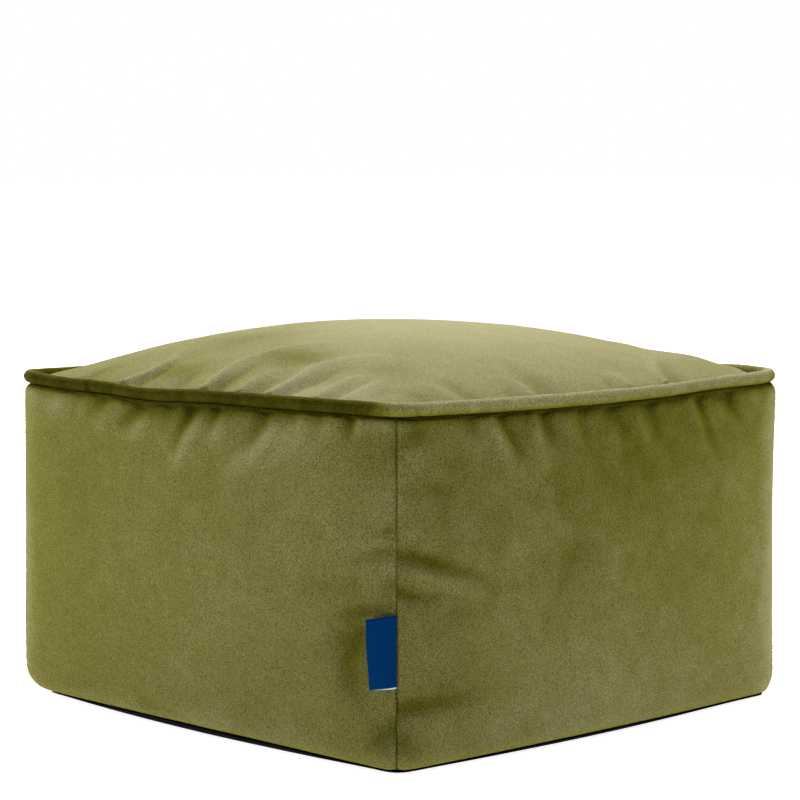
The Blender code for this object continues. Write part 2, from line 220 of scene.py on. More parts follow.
# form of the cloth cube
cube = {
    "topHalf": 0.250,  # middle of the cube to its corner seams, at the top seam
    "baseHalf": 0.254,
    "topBulge": 0.025,  # how far a side swells past its corner seams
    "middleBulge": 0.0225,
    "baseBulge": 0.018,
    "topRadius": 0.029,  # upright corners, seen from above
    "baseRadius": 0.027,
    "leastRadius": 0.012,
    "reachFrom": 0.3,  # share of a half side where its pulled-out corner begins
    "lipInset": 0.0015,
    "tuckDepth": 0.0025,  # the side draws in under the piping
    "tuckHeight": 0.014,
    "drawHeight": 0.007,
    "rollHeight": 0.027,  # and rolls under at the base
    "seamInset": 0.0095,
    "cornerPower": 5,
    "seamRisePower": 2.2,
    "crownRise": 0.0445,
    "crownPower": 0.75,
    "crownCornerSink": 0.35,
    "swellFade": 4,  # how close to the rim its fuller places reach
    "crownToFrontLeft": 0.18,
    "crownToBackLeft": 0.25,
    "rimRise": 0.0095,  # top panel's edge above the top seam
    "rimRiseCorner": 0.0035,
    "touchGap": 0.0004,
    "baseThickness": 0.0016,
    "baseSlope": 0.0125,
    "rimInset": 0.0095,  # from a side's face to the top panel's edge
    "seamReach": 0.008,  # a corner seam's place beyond topHalf and baseHalf, along a side
}
diagonal = math.sqrt(0.5)

# corners anticlockwise from the front left one, sides from the front one
corners = [
    {
        "signX": -1, "signY": -1, "topReach": 0.0105, "baseReach": 0.006, "seamHeight": 0.295,
        "baseRise": 0.0005, "baseInset": 0.0205, "draw": 0.0018,
    },
    {
        "signX": 1, "signY": -1, "topReach": 0.006, "baseReach": 0.006, "seamHeight": 0.300,
        "baseRise": 0.0010, "baseInset": 0.0155, "draw": 0.0,
    },
    {
        "signX": 1, "signY": 1, "topReach": 0.0045, "baseReach": -0.002, "seamHeight": 0.2968,
        "baseRise": 0.0004, "baseInset": 0.0080, "draw": 0.0034,
    },
    {
        "signX": -1, "signY": 1, "topReach": 0.004, "baseReach": 0.004, "seamHeight": 0.294,
        "baseRise": 0.0008, "baseInset": 0.015, "draw": 0.0015,
    },
]
# dips are places where the top seam sags: share of the side, width as a share, depth
sides = [
    {
        "seamHeight": 0.2975, "seamPower": 2.5, "baseRise": 0.0074,
        "dips": [(-0.70, 0.20, 0.0020), (-0.21, 0.22, 0.0033)],
    },
    {
        "seamHeight": 0.2965, "seamPower": 2.5, "baseRise": 0.0048,
        "dips": [(0.56, 0.22, -0.0016)],
    },
    {
        "seamHeight": 0.2925, "seamPower": 4, "baseRise": 0.0055,
        "dips": [(0.40, 0.25, 0.0015), (-0.80, 0.16, -0.0022)],
    },
    {
        "seamHeight": 0.2920, "seamPower": 4, "baseRise": 0.0050,
        "dips": [(-0.35, 0.30, 0.0015)],
    },
]
# fuller places of the crown: middle, width, rise
crownSwells = [
    ((0.212, 0.200), 0.050, 0.0055),
    ((-0.190, -0.150), 0.060, 0.0025),
]


def alongSide(side, share, name, power):
    # runs between its values at the two corners and leans to its own value in between
    start, middle, end = (part[name] for part in (corners[side], sides[side], corners[(side + 1) % 4]))
    straight = mix(start, end, (share + 1) / 2)
    return straight + (middle - (start + end) / 2) * (1 - abs(share) ** power)


def seamHeight(side, share):
    height = alongSide(side, share, "seamHeight", sides[side]["seamPower"])
    for place, width, depth in sides[side]["dips"]:
        height -= depth * math.exp(-(((share - place) / width) ** 2))
    return height


def baseRise(side, share):
    return alongSide(side, share, "baseRise", cube["seamRisePower"])


def nearCorner(side, share):
    return corners[side] if share < 0 else corners[(side + 1) % 4]


def cornerDraw(side, share):
    # how far the top seam is drawn in at the corners
    return nearCorner(side, share)["draw"] * abs(share) ** cube["cornerPower"]


def baseInset(side, share):
    inset = nearCorner(side, share)["baseInset"]
    return mix(cube["seamInset"], inset, abs(share) ** cube["cornerPower"])


def sideOutline(share, half, bulge, radius):
    # a point of a bulged side with rounded corners: along and outwards, share 1 is mid-corner
    arc = (half * half + bulge * bulge) / (2 * bulge)
    centre = half + bulge - arc
    corner = (centre + math.sqrt(2 * (arc - radius) ** 2 - centre * centre)) / 2
    turn = math.atan2(corner, corner - centre)
    travelled = abs(share) * (arc * turn + radius * (math.pi / 4 - turn))
    if travelled < arc * turn:
        angle = travelled / arc
        along = arc * math.sin(angle)
        outwards = centre + arc * math.cos(angle)
    else:
        angle = turn + (travelled - arc * turn) / radius
        along = corner + radius * math.sin(angle)
        outwards = corner + radius * math.cos(angle)
    return math.copysign(along, share), outwards


def ringPoint(side, share, half, bulge, radius, inset, height):
    along, outwards = sideOutline(share, half - inset, bulge, radius)
    x, y = along, -outwards
    for _ in range(side):
        x, y = -y, x
    for corner, towards in ((corners[side], -share), (corners[(side + 1) % 4], share)):
        pull = max(0.0, (towards - cube["reachFrom"]) / (1 - cube["reachFrom"])) ** 2
        reach = mix(corner["baseReach"], corner["topReach"], min(1.0, height / corner["seamHeight"]))
        x += reach * corner["signX"] * pull * diagonal
        y += reach * corner["signY"] * pull * diagonal
    return x, y, height


def topPoint(side, share, inset, rise):
    # near the top seam: inset from the side's face, rise above the seam
    inset += cornerDraw(side, share)
    radius = max(cube["topRadius"] - inset / 2, cube["leastRadius"])
    height = seamHeight(side, share) + rise
    return ringPoint(side, share, cube["topHalf"], cube["topBulge"], radius, inset, height)


def sidePoint(side, share, down):
    # on the side panel, down from the lip under the piping (0) to the base seam (1)
    top = seamHeight(side, share)
    bottom = baseRise(side, share) + cube["baseThickness"] + cube["touchGap"]
    level = 1 - down
    height = mix(bottom, top, level)
    tuck = max(0.0, 1 - (top - height) / cube["tuckHeight"])
    roll = max(0.0, 1 - (height - bottom) / cube["rollHeight"])
    lip = max(0.0, 1 - (top - height) / cube["drawHeight"])
    inset = cube["lipInset"] * level + cube["tuckDepth"] * quarterRound(tuck)
    inset += cornerDraw(side, share) * quarterRound(lip)
    inset += baseInset(side, share) * quarterRound(roll)
    edge = cube["baseBulge"] if level < 0.5 else cube["topBulge"]
    bulge = mix(edge, cube["middleBulge"], math.sin(math.pi * level))
    half = mix(cube["baseHalf"], cube["topHalf"], level)
    radius = max(mix(cube["baseRadius"], cube["topRadius"], level) - inset / 2, cube["leastRadius"])
    return ringPoint(side, share, half, bulge, radius, inset, height)


def basePoint(side, share, slope, lift):
    # the sloped border of the base cloth, from its seam (0) to the floor (1)
    inset = baseInset(side, share) + cube["baseSlope"] * slope
    height = baseRise(side, share) * (1 - slope) ** 2 + lift
    radius = max(cube["baseRadius"] - inset / 2, cube["leastRadius"])
    return ringPoint(side, share, cube["baseHalf"], cube["baseBulge"], radius, inset, height)


# a strip of velvet sewn over its cord
piping = {
    "height": 0.012,
    "depth": 0.009,
    "grooveGap": 0.0006,
    "columns": 220,  # along each side
    "sides": 20,
    "plump": 0.0007,  # the cord's outer half is fuller than its seam side
    "unevenness": [(0.00035, 26.0), (0.00022, 75.0), (0.00012, 210.0)],  # height and waves a metre
    # tone along each side and at each corner: partly the pile's own lay, partly painted shade and sheen
    "napAndLightOfSides": [-0.74, 0.38, 0.1, -0.5],
    "paintedLightSlopeOfSides": [0.0, 0.50, 0.2, 0.1],  # painted light: how much lighter its upper half is than its middle, as if lit from above
    "napAndLightOfCorners": [-0.45, 0.12, 0.2, -0.2],
    "napTurn": 0.040,
    "toneTurn": 0.12,  # share of a side over which its tones run into the next side's
    "creaseShade": 260.0,  # painted shade in a crease, for each metre of its depth
    "glintOfSides": [0.40, 0.60, 0.4, 0.4],  # painted highlight along the upper outer edge
    "glintAngle": 0.57,  # of a half turn, where that edge is
    "glintPower": 5,  # how narrow
    "underShadeOfSides": [0.15, 0.25, 0.3, 0.3],  # and painted shade where it turns under
    "napWaves": [(0.10, 30.0), (0.08, 90.0)],
    # where it is slimmer: side, share along it, width as a share, how much
    "slimPlaces": [
        (0, -0.25, 0.75, 0.0006), (1, 0.50, 0.32, 0.0006),
        (2, 0.10, 0.50, 0.0003), (3, -0.20, 0.50, 0.0003),
    ],
}
# short creases across the piping: side, share along it, lean along the side, width, depth
pipingCreases = [
    (0, -0.545, 0.004, 0.0016, 0.0006),
    (0, -0.520, 0.006, 0.0014, 0.0004),
    (0, -0.390, 0.003, 0.0018, 0.0005),
    (0, 0.905, 0.004, 0.0018, 0.0003),
    (1, -0.930, -0.003, 0.0020, 0.0006),
    (1, 0.930, 0.004, 0.0018, 0.0007),
    (2, -0.620, 0.004, 0.0016, 0.0008),
    (2, 0.300, 0.003, 0.0020, 0.0006),
    (3, 0.550, -0.004, 0.0018, 0.0008),
    (3, -0.910, 0.003, 0.0016, 0.0006),
]


def pipingSection(angle, gap):
    # inset and rise of a point of the oval section, or of the groove a gap away
    inset = piping["depth"] / 2 + (piping["depth"] / 2 + gap) * math.cos(angle)
    rise = cube["touchGap"] + piping["height"] / 2 + (piping["height"] / 2 + gap) * math.sin(angle)
    return inset, rise


def pipingNapAndLight(points):
    # the bias-cut strip's tone turns with its run, dark along the front and the left: partly the pile's own
    # lay, partly painted shade and sheen from how the light meets each side
    side = sideOf(points)
    lay = np.array(piping["napAndLightOfSides"])[side]
    turn = np.minimum(np.abs(np.abs(points[:, 0]) - np.abs(points[:, 1])) / piping["napTurn"], 1)
    cornerNumber = np.where(points[:, 1] < 0, points[:, 0] > 0, 2 + (points[:, 0] < 0)).astype(int)
    soft = mix(np.array(piping["napAndLightOfCorners"])[cornerNumber], lay, smoothStep(turn))
    return soft + waves(points, piping["napWaves"], "pipingNapAndLight")


def pipingTone(name, side, share):
    # a side's value, which meets the next side's halfway at the corner
    following = (side + (1 if share > 0 else -1)) % 4
    near = smoothStep(max(0.0, 1 - (1 - abs(share)) / piping["toneTurn"]))
    return mix(piping[name][side], piping[name][following], 0.5 * near)


def pipingCrease(side, share, angle):
    # how much deeper the short creases make this place, which creaseShade turns into painted shade
    along = share * panels["halfRun"]
    depth = 0.0
    for creaseSide, place, lean, width, amount in pipingCreases:
        if creaseSide == side:
            away = (along - place * panels["halfRun"] - lean * math.sin(angle)) / width
            depth += amount * math.exp(-away * away)
    return depth


def pipingSlim(side, share):
    slim = 0.0
    for slimSide, place, width, amount in piping["slimPlaces"]:
        if slimSide == side:
            slim += amount * math.exp(-(((share - place) / width) ** 2))
    return slim


def makePiping():
    print("piping: bias-cut strip round its cord")
    shares = evenShares(piping["columns"])[:-1]
    points, shade = [], []
    for step in range(piping["sides"]):
        angle = 2 * math.pi * step / piping["sides"]
        outer = max(0.0, -math.cos(angle))
        edge = max(0.0, math.cos(angle - piping["glintAngle"] * math.pi)) ** piping["glintPower"]
        low = max(0.0, -math.sin(angle)) ** 2
        for side in range(4):
            for share in shares:
                # painted highlight along the upper outer edge, painted shade where it turns under, and an
                # upper half painted lighter as if lit from above
                tone = pipingTone("glintOfSides", side, share) * edge
                tone -= pipingTone("underShadeOfSides", side, share) * low
                tone += pipingTone("paintedLightSlopeOfSides", side, share) * math.sin(angle)
                crease = pipingCrease(side, share, angle)
                inset, rise = pipingSection(angle, piping["plump"] * outer - crease - pipingSlim(side, share))
                points.append(topPoint(side, share, inset, rise))
                # painted shade in the short creases
                shade.append(tone - piping["creaseShade"] * crease)
    size = 4 * len(shares)
    faces = []
    for ring in range(piping["sides"]):
        following = (ring + 1) % piping["sides"]
        for place in range(size):
            before = place - 1 if place else size - 1
            here, above = ring * size, following * size
            faces.append((here + before, here + place, above + place, above + before))
    item = meshObject("piping_cover", points, faces)
    places = meshPoints(item.data)
    places = pushOut(item, places, waves(places, piping["unevenness"], "pipingForm"))
    markNapAndLight(item, pipingNapAndLight(places) + np.array(shade))
    item.data.materials.append(clothMaterial("pipingVelvet"))
    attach(item, body)
    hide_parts("top_piping")
    return item


# rows and columns of points on the cube's panels
panels = {
    "columns": 76,  # along each side
    "cornerSteps": [0.0006, 0.0013, 0.0023, 0.0038, 0.0060, 0.0092],  # columns beside a corner seam
    "halfRun": 0.262,  # from the middle of a side to its corner seam
    "rimSteps": [0.0006, 0.0016, 0.0032, 0.0056, 0.0090, 0.0140, 0.0210, 0.0300],  # rings in from the rim
    "innerRadius": 0.002,
    "grooveRows": 5,
    "topSteps": [0.0005, 0.0012, 0.0022, 0.0036, 0.0056, 0.0086, 0.0128],  # rows under the top seam
    "baseSteps": [0.0010, 0.0028, 0.0055, 0.0092, 0.0140, 0.0200],  # rows above the base seam
    "sideRows": 44,
    "slopeShares": [0.45, 1.0],
}


def columnShares():
    # crowded beside the corner seams, even in between
    near = [1 - step / panels["halfRun"] for step in panels["cornerSteps"]]
    inner = panels["columns"] - 2 * len(near)
    even = [near[-1] * (2 * step / inner - 1) for step in range(1, inner)]
    return [-1.0] + [-share for share in near] + even + near[::-1] + [1.0]


def rowShares():
    # 0 at the lip under the piping, 1 at the base seam
    height = sides[0]["seamHeight"]
    top = [0.0] + [step / height for step in panels["topSteps"]]
    low = [1 - step / height for step in panels["baseSteps"]][::-1] + [1.0]
    inner = panels["sideRows"] - len(top) - len(low) + 2
    even = [mix(top[-1], low[0], step / inner) for step in range(1, inner)]
    return top + even + low


def crownRise(across, deep):
    # rise of the domed top panel at shares (-1 to 1) of its width and depth
    swell = ((1 - across * across) * (1 - deep * deep)) ** cube["crownPower"]
    lean = cube["crownToFrontLeft"] * (across + deep) / 2 + cube["crownToBackLeft"] * (across - deep) / 2
    sink = cube["crownCornerSink"] * (across * deep) ** 2
    rise = cube["crownRise"] * swell * (1 - sink) * (1 - lean)
    for middle, width, amount in crownSwells:
        x, y = across * cube["topHalf"] - middle[0], deep * cube["topHalf"] - middle[1]
        rise += amount * math.exp(-(x * x + y * y) / width**2) * min(1.0, cube["swellFade"] * swell)
    return rise


def rimRise(share):
    # the top panel's edge above the top seam
    return mix(cube["rimRise"], cube["rimRiseCorner"], abs(share) ** cube["cornerPower"])


def rimHeight(side, share):
    return seamHeight(side, share) + rimRise(share)


def stretched(edges, ends, u, v):
    # between values on the front, right, rear and left edge and at the corners, from the front left one
    front, right, rear, left = edges
    value = front * (1 - v) + rear * v
    value += left * (1 - u) + right * u
    value -= (ends[0] * (1 - u) + ends[1] * u) * (1 - v)
    value -= (ends[3] * (1 - u) + ends[2] * u) * v
    return value


def crownHeight(across, deep):
    # stretched between the four rims, then domed
    edges = [rimHeight(0, across), rimHeight(1, deep), rimHeight(2, -across), rimHeight(3, -deep)]
    ends = [rimHeight(0, -1), rimHeight(0, 1), rimHeight(2, -1), rimHeight(2, 1)]
    return stretched(edges, ends, (across + 1) / 2, (deep + 1) / 2) + crownRise(across, deep)


def sidePlace(side, share, reach):
    # across and deep of a place on a ring around the top panel, reach 1 at its rim
    across, deep = share * reach, -reach
    for _ in range(side):
        across, deep = -deep, across
    return across, deep


def around(place, shares):
    return [place(side, share) for side in range(4) for share in shares[:-1]]


def topRing(step, shares):
    # a ring of the top panel, drawn in from its rim; its corners grow sharper further in
    rimInset, _ = grooveSection(0, 0)
    inset = rimInset + step
    reach = 1 - step / (cube["topHalf"] + cube["topBulge"] - rimInset)
    last = panels["rimSteps"][-1]
    radius = mix(cube["topRadius"] - rimInset / 2, panels["innerRadius"], step / last)

    def place(side, share):
        height = crownHeight(*sidePlace(side, share, reach))
        drawn = inset + cornerDraw(side, share) * (1 - step / last)
        return ringPoint(side, share, cube["topHalf"], cube["topBulge"], radius, drawn, height)

    return around(place, shares)


def grooveSection(share, row):
    # inset and rise in the groove that holds the piping, from the top panel's edge (0) to its bottom
    middle = cube["touchGap"] + piping["height"] / 2
    start = math.asin((rimRise(share) - middle) / (piping["height"] / 2 + piping["grooveGap"]))
    angle = mix(start, -math.pi / 2, row / panels["grooveRows"])
    return pipingSection(angle, piping["grooveGap"])


def innerPanel(ring, count):
    # grid of points between the four sides of the innermost ring
    front, right = ring[:count + 1], ring[count:2 * count + 1]
    rear, left = ring[2 * count:3 * count + 1], ring[3 * count:] + ring[:1]
    ends = [front[0], front[count], rear[0], rear[count]]
    rows = []
    reach = 1 - panels["rimSteps"][-1] / (cube["topHalf"] + cube["topBulge"])
    for row in range(count + 1):
        line = []
        for column in range(count + 1):
            u, v = column / count, row / count
            edges = [front[column], right[row], rear[count - column], left[count - row]]
            x, y = (
                stretched([edge[axis] for edge in edges], [end[axis] for end in ends], u, v)
                for axis in (0, 1)
            )
            line.append((x, y, crownHeight(mix(-reach, reach, u), mix(-reach, reach, v))))
        rows.append(line)
    return rows


def cubeRings():
    # every ring from the inside of the top panel out, down the sides and under the base
    shares = columnShares()
    rings = []
    for step in panels["rimSteps"][::-1]:
        relax = step / panels["rimSteps"][-1]
        ringShares = [mix(*pair, relax) for pair in zip(shares, evenShares(panels["columns"]))]
        rings.append(("top", topRing(step, ringShares)))
    for row in range(panels["grooveRows"] + 1):
        ring = around(lambda side, share: topPoint(side, share, *grooveSection(share, row)), shares)
        rings.append(("top" if row == 0 else "groove", ring))
    for down in rowShares():
        rings.append(("side", around(lambda side, share: sidePoint(side, share, down), shares)))
    lift = cube["baseThickness"] + cube["touchGap"]
    for slope in panels["slopeShares"]:
        rings.append(("under", around(lambda side, share: basePoint(side, share, slope, lift), shares)))
    return rings


kindNumbers = {"top": 0, "groove": 1, "side": 2, "under": 3}


def makeCube():
    print("velvet cube: panels")
    rings = cubeRings()
    count = panels["columns"]
    grid = innerPanel(rings[0][1], count)
    points = [point for line in grid for point in line]
    faces, wide = gridFaces(count, count), count + 1
    kinds = [kindNumbers["top"]] * len(faces)
    before = list(range(count))
    before += [step * wide + count for step in range(count)]
    before += [count * wide + count - step for step in range(count)]
    before += [(count - step) * wide for step in range(count)]
    for kind, ring in rings[1:]:
        first = len(points)
        points += ring
        now = list(range(first, first + len(ring)))
        for place in range(len(ring)):
            faces.append((before[place - 1], now[place - 1], now[place], before[place]))
            kinds.append(kindNumbers[kind])
        before = now
    item = meshObject("velvet_cube_cover", points, faces)
    mark = item.data.attributes.new("panelKind", "INT", "FACE")
    mark.data.foreach_set("value", kinds)
    return item


def closeUnderside(item):
    # the flat middle of the underside is one face
    mesh = bmesh.new()
    mesh.from_mesh(item.data)
    kind = mesh.faces.layers.int["panelKind"]
    filled = bmesh.ops.edgeloop_fill(mesh, edges=[edge for edge in mesh.edges if edge.is_boundary])
    for face in filled["faces"]:
        face[kind] = kindNumbers["under"]
    mesh.to_mesh(item.data)
    mesh.free()


# A fold is its route, width, height and tone. The route starts at the seam that gathers it. On a side it is
# (along, down): along from the side's middle towards its right-hand corner, down from the top seam. On top
# it is (x, y). A height above 0 is a ridge, below 0 a trough. Tone is how much lighter it is painted: painted
# highlight on a ridge, painted shade in a trough.
frontFolds = [
    ([(-0.18, 0.003), (-0.197, 0.03)], 0.0065, 0.0016, 0.12),
    ([(-0.152, 0.003), (-0.163, 0.026)], 0.007, -0.0012, -0.08),
    ([(-0.132, 0.003), (-0.152, 0.024)], 0.006, 0.0014, 0.1),
    ([(-0.084, 0.005), (-0.102, 0.014), (-0.117, 0.024), (-0.128, 0.036)], 0.0065, 0.0022, 0.2),
    ([(-0.11, 0.003), (-0.118, 0.007), (-0.13, 0.013), (-0.143, 0.022)], 0.0055, -0.0018, -0.28),
    ([(-0.052, 0.003), (-0.064, 0.011), (-0.078, 0.02), (-0.088, 0.028)], 0.0075, -0.0022, -0.42),
    ([(-0.042, 0.014), (-0.056, 0.022), (-0.068, 0.031), (-0.078, 0.04)], 0.0065, 0.0022, 0.24),
    ([(-0.01, 0.003), (-0.025, 0.03)], 0.009, -0.002, -0.2),
    ([(0.029, 0.012), (0.014, 0.028), (-0.01, 0.062)], 0.007, 0.003, 0.34),
    ([(0.022, 0.003), (0.014, 0.011), (0.004, 0.021), (-0.012, 0.044)], 0.008, -0.0028, -0.52),
    ([(0.06, 0.012), (0.042, 0.036)], 0.0065, 0.0022, 0.22),
    ([(0.052, 0.003), (0.046, 0.012), (0.036, 0.022)], 0.0065, -0.002, -0.32),
    ([(0.11, 0.003), (0.1, 0.016), (0.088, 0.03)], 0.0105, -0.003, -0.36),
    ([(0.12, 0.011), (0.105, 0.03), (0.078, 0.054)], 0.0075, 0.0032, 0.34),
    ([(0.08, 0.04), (0.054, 0.072)], 0.01, 0.0016, 0.1),
    ([(0.152, 0.003), (0.145, 0.02)], 0.006, 0.0016, 0.14),
    ([(0.14, 0.003), (0.137, 0.01)], 0.005, -0.0012, -0.12),
    ([(0.184, 0.003), (0.172, 0.02)], 0.006, 0.0016, 0.16),
    ([(0.17, 0.003), (0.163, 0.016)], 0.0055, -0.0014, -0.16),
    ([(0.204, 0.003), (0.2, 0.022)], 0.0058, -0.0024, -0.3),
    ([(0.214, 0.003), (0.211, 0.02)], 0.004, 0.0016, 0.24),
    # beside the near corner seam
    ([(0.246, 0.092), (0.226, 0.098)], 0.004, -0.0014, -0.22),
    ([(0.247, 0.11), (0.232, 0.112), (0.208, 0.122)], 0.005, -0.002, -0.26),
    ([(0.248, 0.139), (0.234, 0.143)], 0.004, -0.0014, -0.22),
    ([(0.212, 0.14), (0.174, 0.143), (0.138, 0.142)], 0.006, -0.0012, -0.14),
    ([(0.244, 0.154), (0.226, 0.16), (0.208, 0.163), (0.182, 0.177)], 0.0055, -0.0016, -0.18),
    ([(0.232, 0.166), (0.198, 0.179)], 0.0055, 0.0016, 0.14),
    ([(0.216, 0.178), (0.206, 0.204), (0.21, 0.238)], 0.013, -0.003, -0.32),
    ([(0.197, 0.186), (0.173, 0.199)], 0.006, -0.0014, -0.14),
    ([(0.251, 0.256), (0.24, 0.265), (0.22, 0.279)], 0.0085, -0.0026, -0.28),
    ([(-0.061, 0.271), (-0.03, 0.275), (0.021, 0.283)], 0.006, -0.0012, -0.1),
]
rightFolds = [
    ([(-0.176, 0.003), (-0.168, 0.02)], 0.007, -0.002, -0.22),
    ([(-0.153, 0.003), (-0.14, 0.03), (-0.122, 0.058)], 0.0065, 0.0024, 0.2),
    ([(-0.145, 0.003), (-0.131, 0.022), (-0.112, 0.05)], 0.0065, -0.0028, -0.36),
    ([(-0.107, 0.003), (-0.1, 0.03), (-0.092, 0.056)], 0.0065, 0.0024, 0.22),
    ([(-0.094, 0.003), (-0.082, 0.034)], 0.008, -0.003, -0.42),
    ([(-0.07, 0.012), (-0.054, 0.034)], 0.006, 0.002, 0.08),
    ([(-0.052, 0.01), (-0.041, 0.034)], 0.007, -0.0018, -0.16),
    ([(-0.014, 0.003), (0.0, 0.018), (0.01, 0.032)], 0.007, -0.0024, -0.3),
    ([(0.02, 0.014), (0.036, 0.042)], 0.0065, 0.002, 0.14),
    ([(0.036, 0.003), (0.052, 0.03), (0.064, 0.048)], 0.009, -0.0022, -0.22),
    ([(0.092, 0.003), (0.12, 0.036)], 0.007, 0.002, 0.18),
    ([(0.11, 0.008), (0.126, 0.036), (0.143, 0.07)], 0.006, -0.002, -0.3),
    ([(0.14, 0.013), (0.152, 0.03)], 0.007, 0.0014, 0.08),
    ([(0.153, 0.003), (0.182, 0.034)], 0.009, -0.0026, -0.34),
    ([(0.198, 0.008), (0.208, 0.032)], 0.009, 0.0012, 0.16),
    # beside the near corner seam
    ([(-0.25, 0.111), (-0.221, 0.12), (-0.174, 0.134), (-0.142, 0.156)], 0.0062, -0.0034, -0.36),
    ([(-0.236, 0.128), (-0.196, 0.14), (-0.166, 0.158)], 0.007, 0.0016, 0.14),
    ([(-0.252, 0.142), (-0.228, 0.15), (-0.206, 0.149)], 0.006, -0.0022, -0.34),
    ([(-0.253, 0.241), (-0.223, 0.239), (-0.176, 0.236)], 0.0075, -0.003, -0.34),
    ([(-0.253, 0.267), (-0.24, 0.274), (-0.216, 0.271)], 0.01, -0.002, -0.26),
    ([(-0.236, 0.062), (-0.208, 0.06), (-0.18, 0.054)], 0.007, -0.0014, -0.16),
    ([(-0.058, 0.12), (-0.069, 0.143), (-0.081, 0.161), (-0.104, 0.168)], 0.007, -0.0012, -0.12),
]
rearFolds = [
    ([(-0.142, 0.003), (-0.118, 0.044)], 0.008, -0.0028, -0.3),
    ([(-0.124, 0.003), (-0.104, 0.04)], 0.0065, 0.0024, 0.22),
    ([(-0.078, 0.003), (-0.06, 0.036)], 0.008, -0.0024, -0.26),
    ([(-0.062, 0.003), (-0.044, 0.05)], 0.007, 0.0026, 0.24),
    ([(0.022, 0.003), (0.004, 0.046)], 0.0085, -0.0028, -0.3),
    ([(0.042, 0.003), (0.018, 0.052)], 0.007, 0.0026, 0.24),
    ([(0.084, 0.003), (0.07, 0.034)], 0.008, -0.0024, -0.28),
    ([(0.102, 0.003), (0.078, 0.05)], 0.007, 0.0026, 0.24),
    ([(0.16, 0.003), (0.148, 0.036)], 0.008, -0.0022, -0.26),
    ([(0.198, 0.003), (0.19, 0.024)], 0.006, -0.0018, -0.2),
    ([(-0.248, 0.128), (-0.206, 0.136), (-0.164, 0.148)], 0.0065, -0.0026, -0.26),
    ([(0.248, 0.196), (0.212, 0.19), (0.178, 0.196)], 0.007, -0.0022, -0.22),
]
leftFolds = [
    ([(-0.176, 0.003), (-0.166, 0.026)], 0.007, -0.002, -0.22),
    ([(-0.15, 0.003), (-0.132, 0.042)], 0.0085, -0.0026, -0.3),
    ([(-0.06, 0.003), (-0.086, 0.052)], 0.007, 0.0028, 0.26),
    ([(-0.078, 0.003), (-0.098, 0.04)], 0.008, -0.0026, -0.3),
    ([(0.018, 0.003), (-0.006, 0.046)], 0.0085, -0.0028, -0.3),
    ([(0.036, 0.003), (0.012, 0.056)], 0.007, 0.0026, 0.24),
    ([(0.096, 0.003), (0.08, 0.036)], 0.008, -0.0024, -0.26),
    ([(0.114, 0.003), (0.09, 0.046)], 0.007, 0.0026, 0.24),
    ([(0.168, 0.003), (0.16, 0.03)], 0.007, -0.002, -0.22),
    ([(0.25, 0.192), (0.214, 0.184), (0.176, 0.182)], 0.007, -0.0028, -0.26),
    ([(-0.25, 0.15), (-0.22, 0.158), (-0.19, 0.156)], 0.0065, -0.0022, -0.22),
]
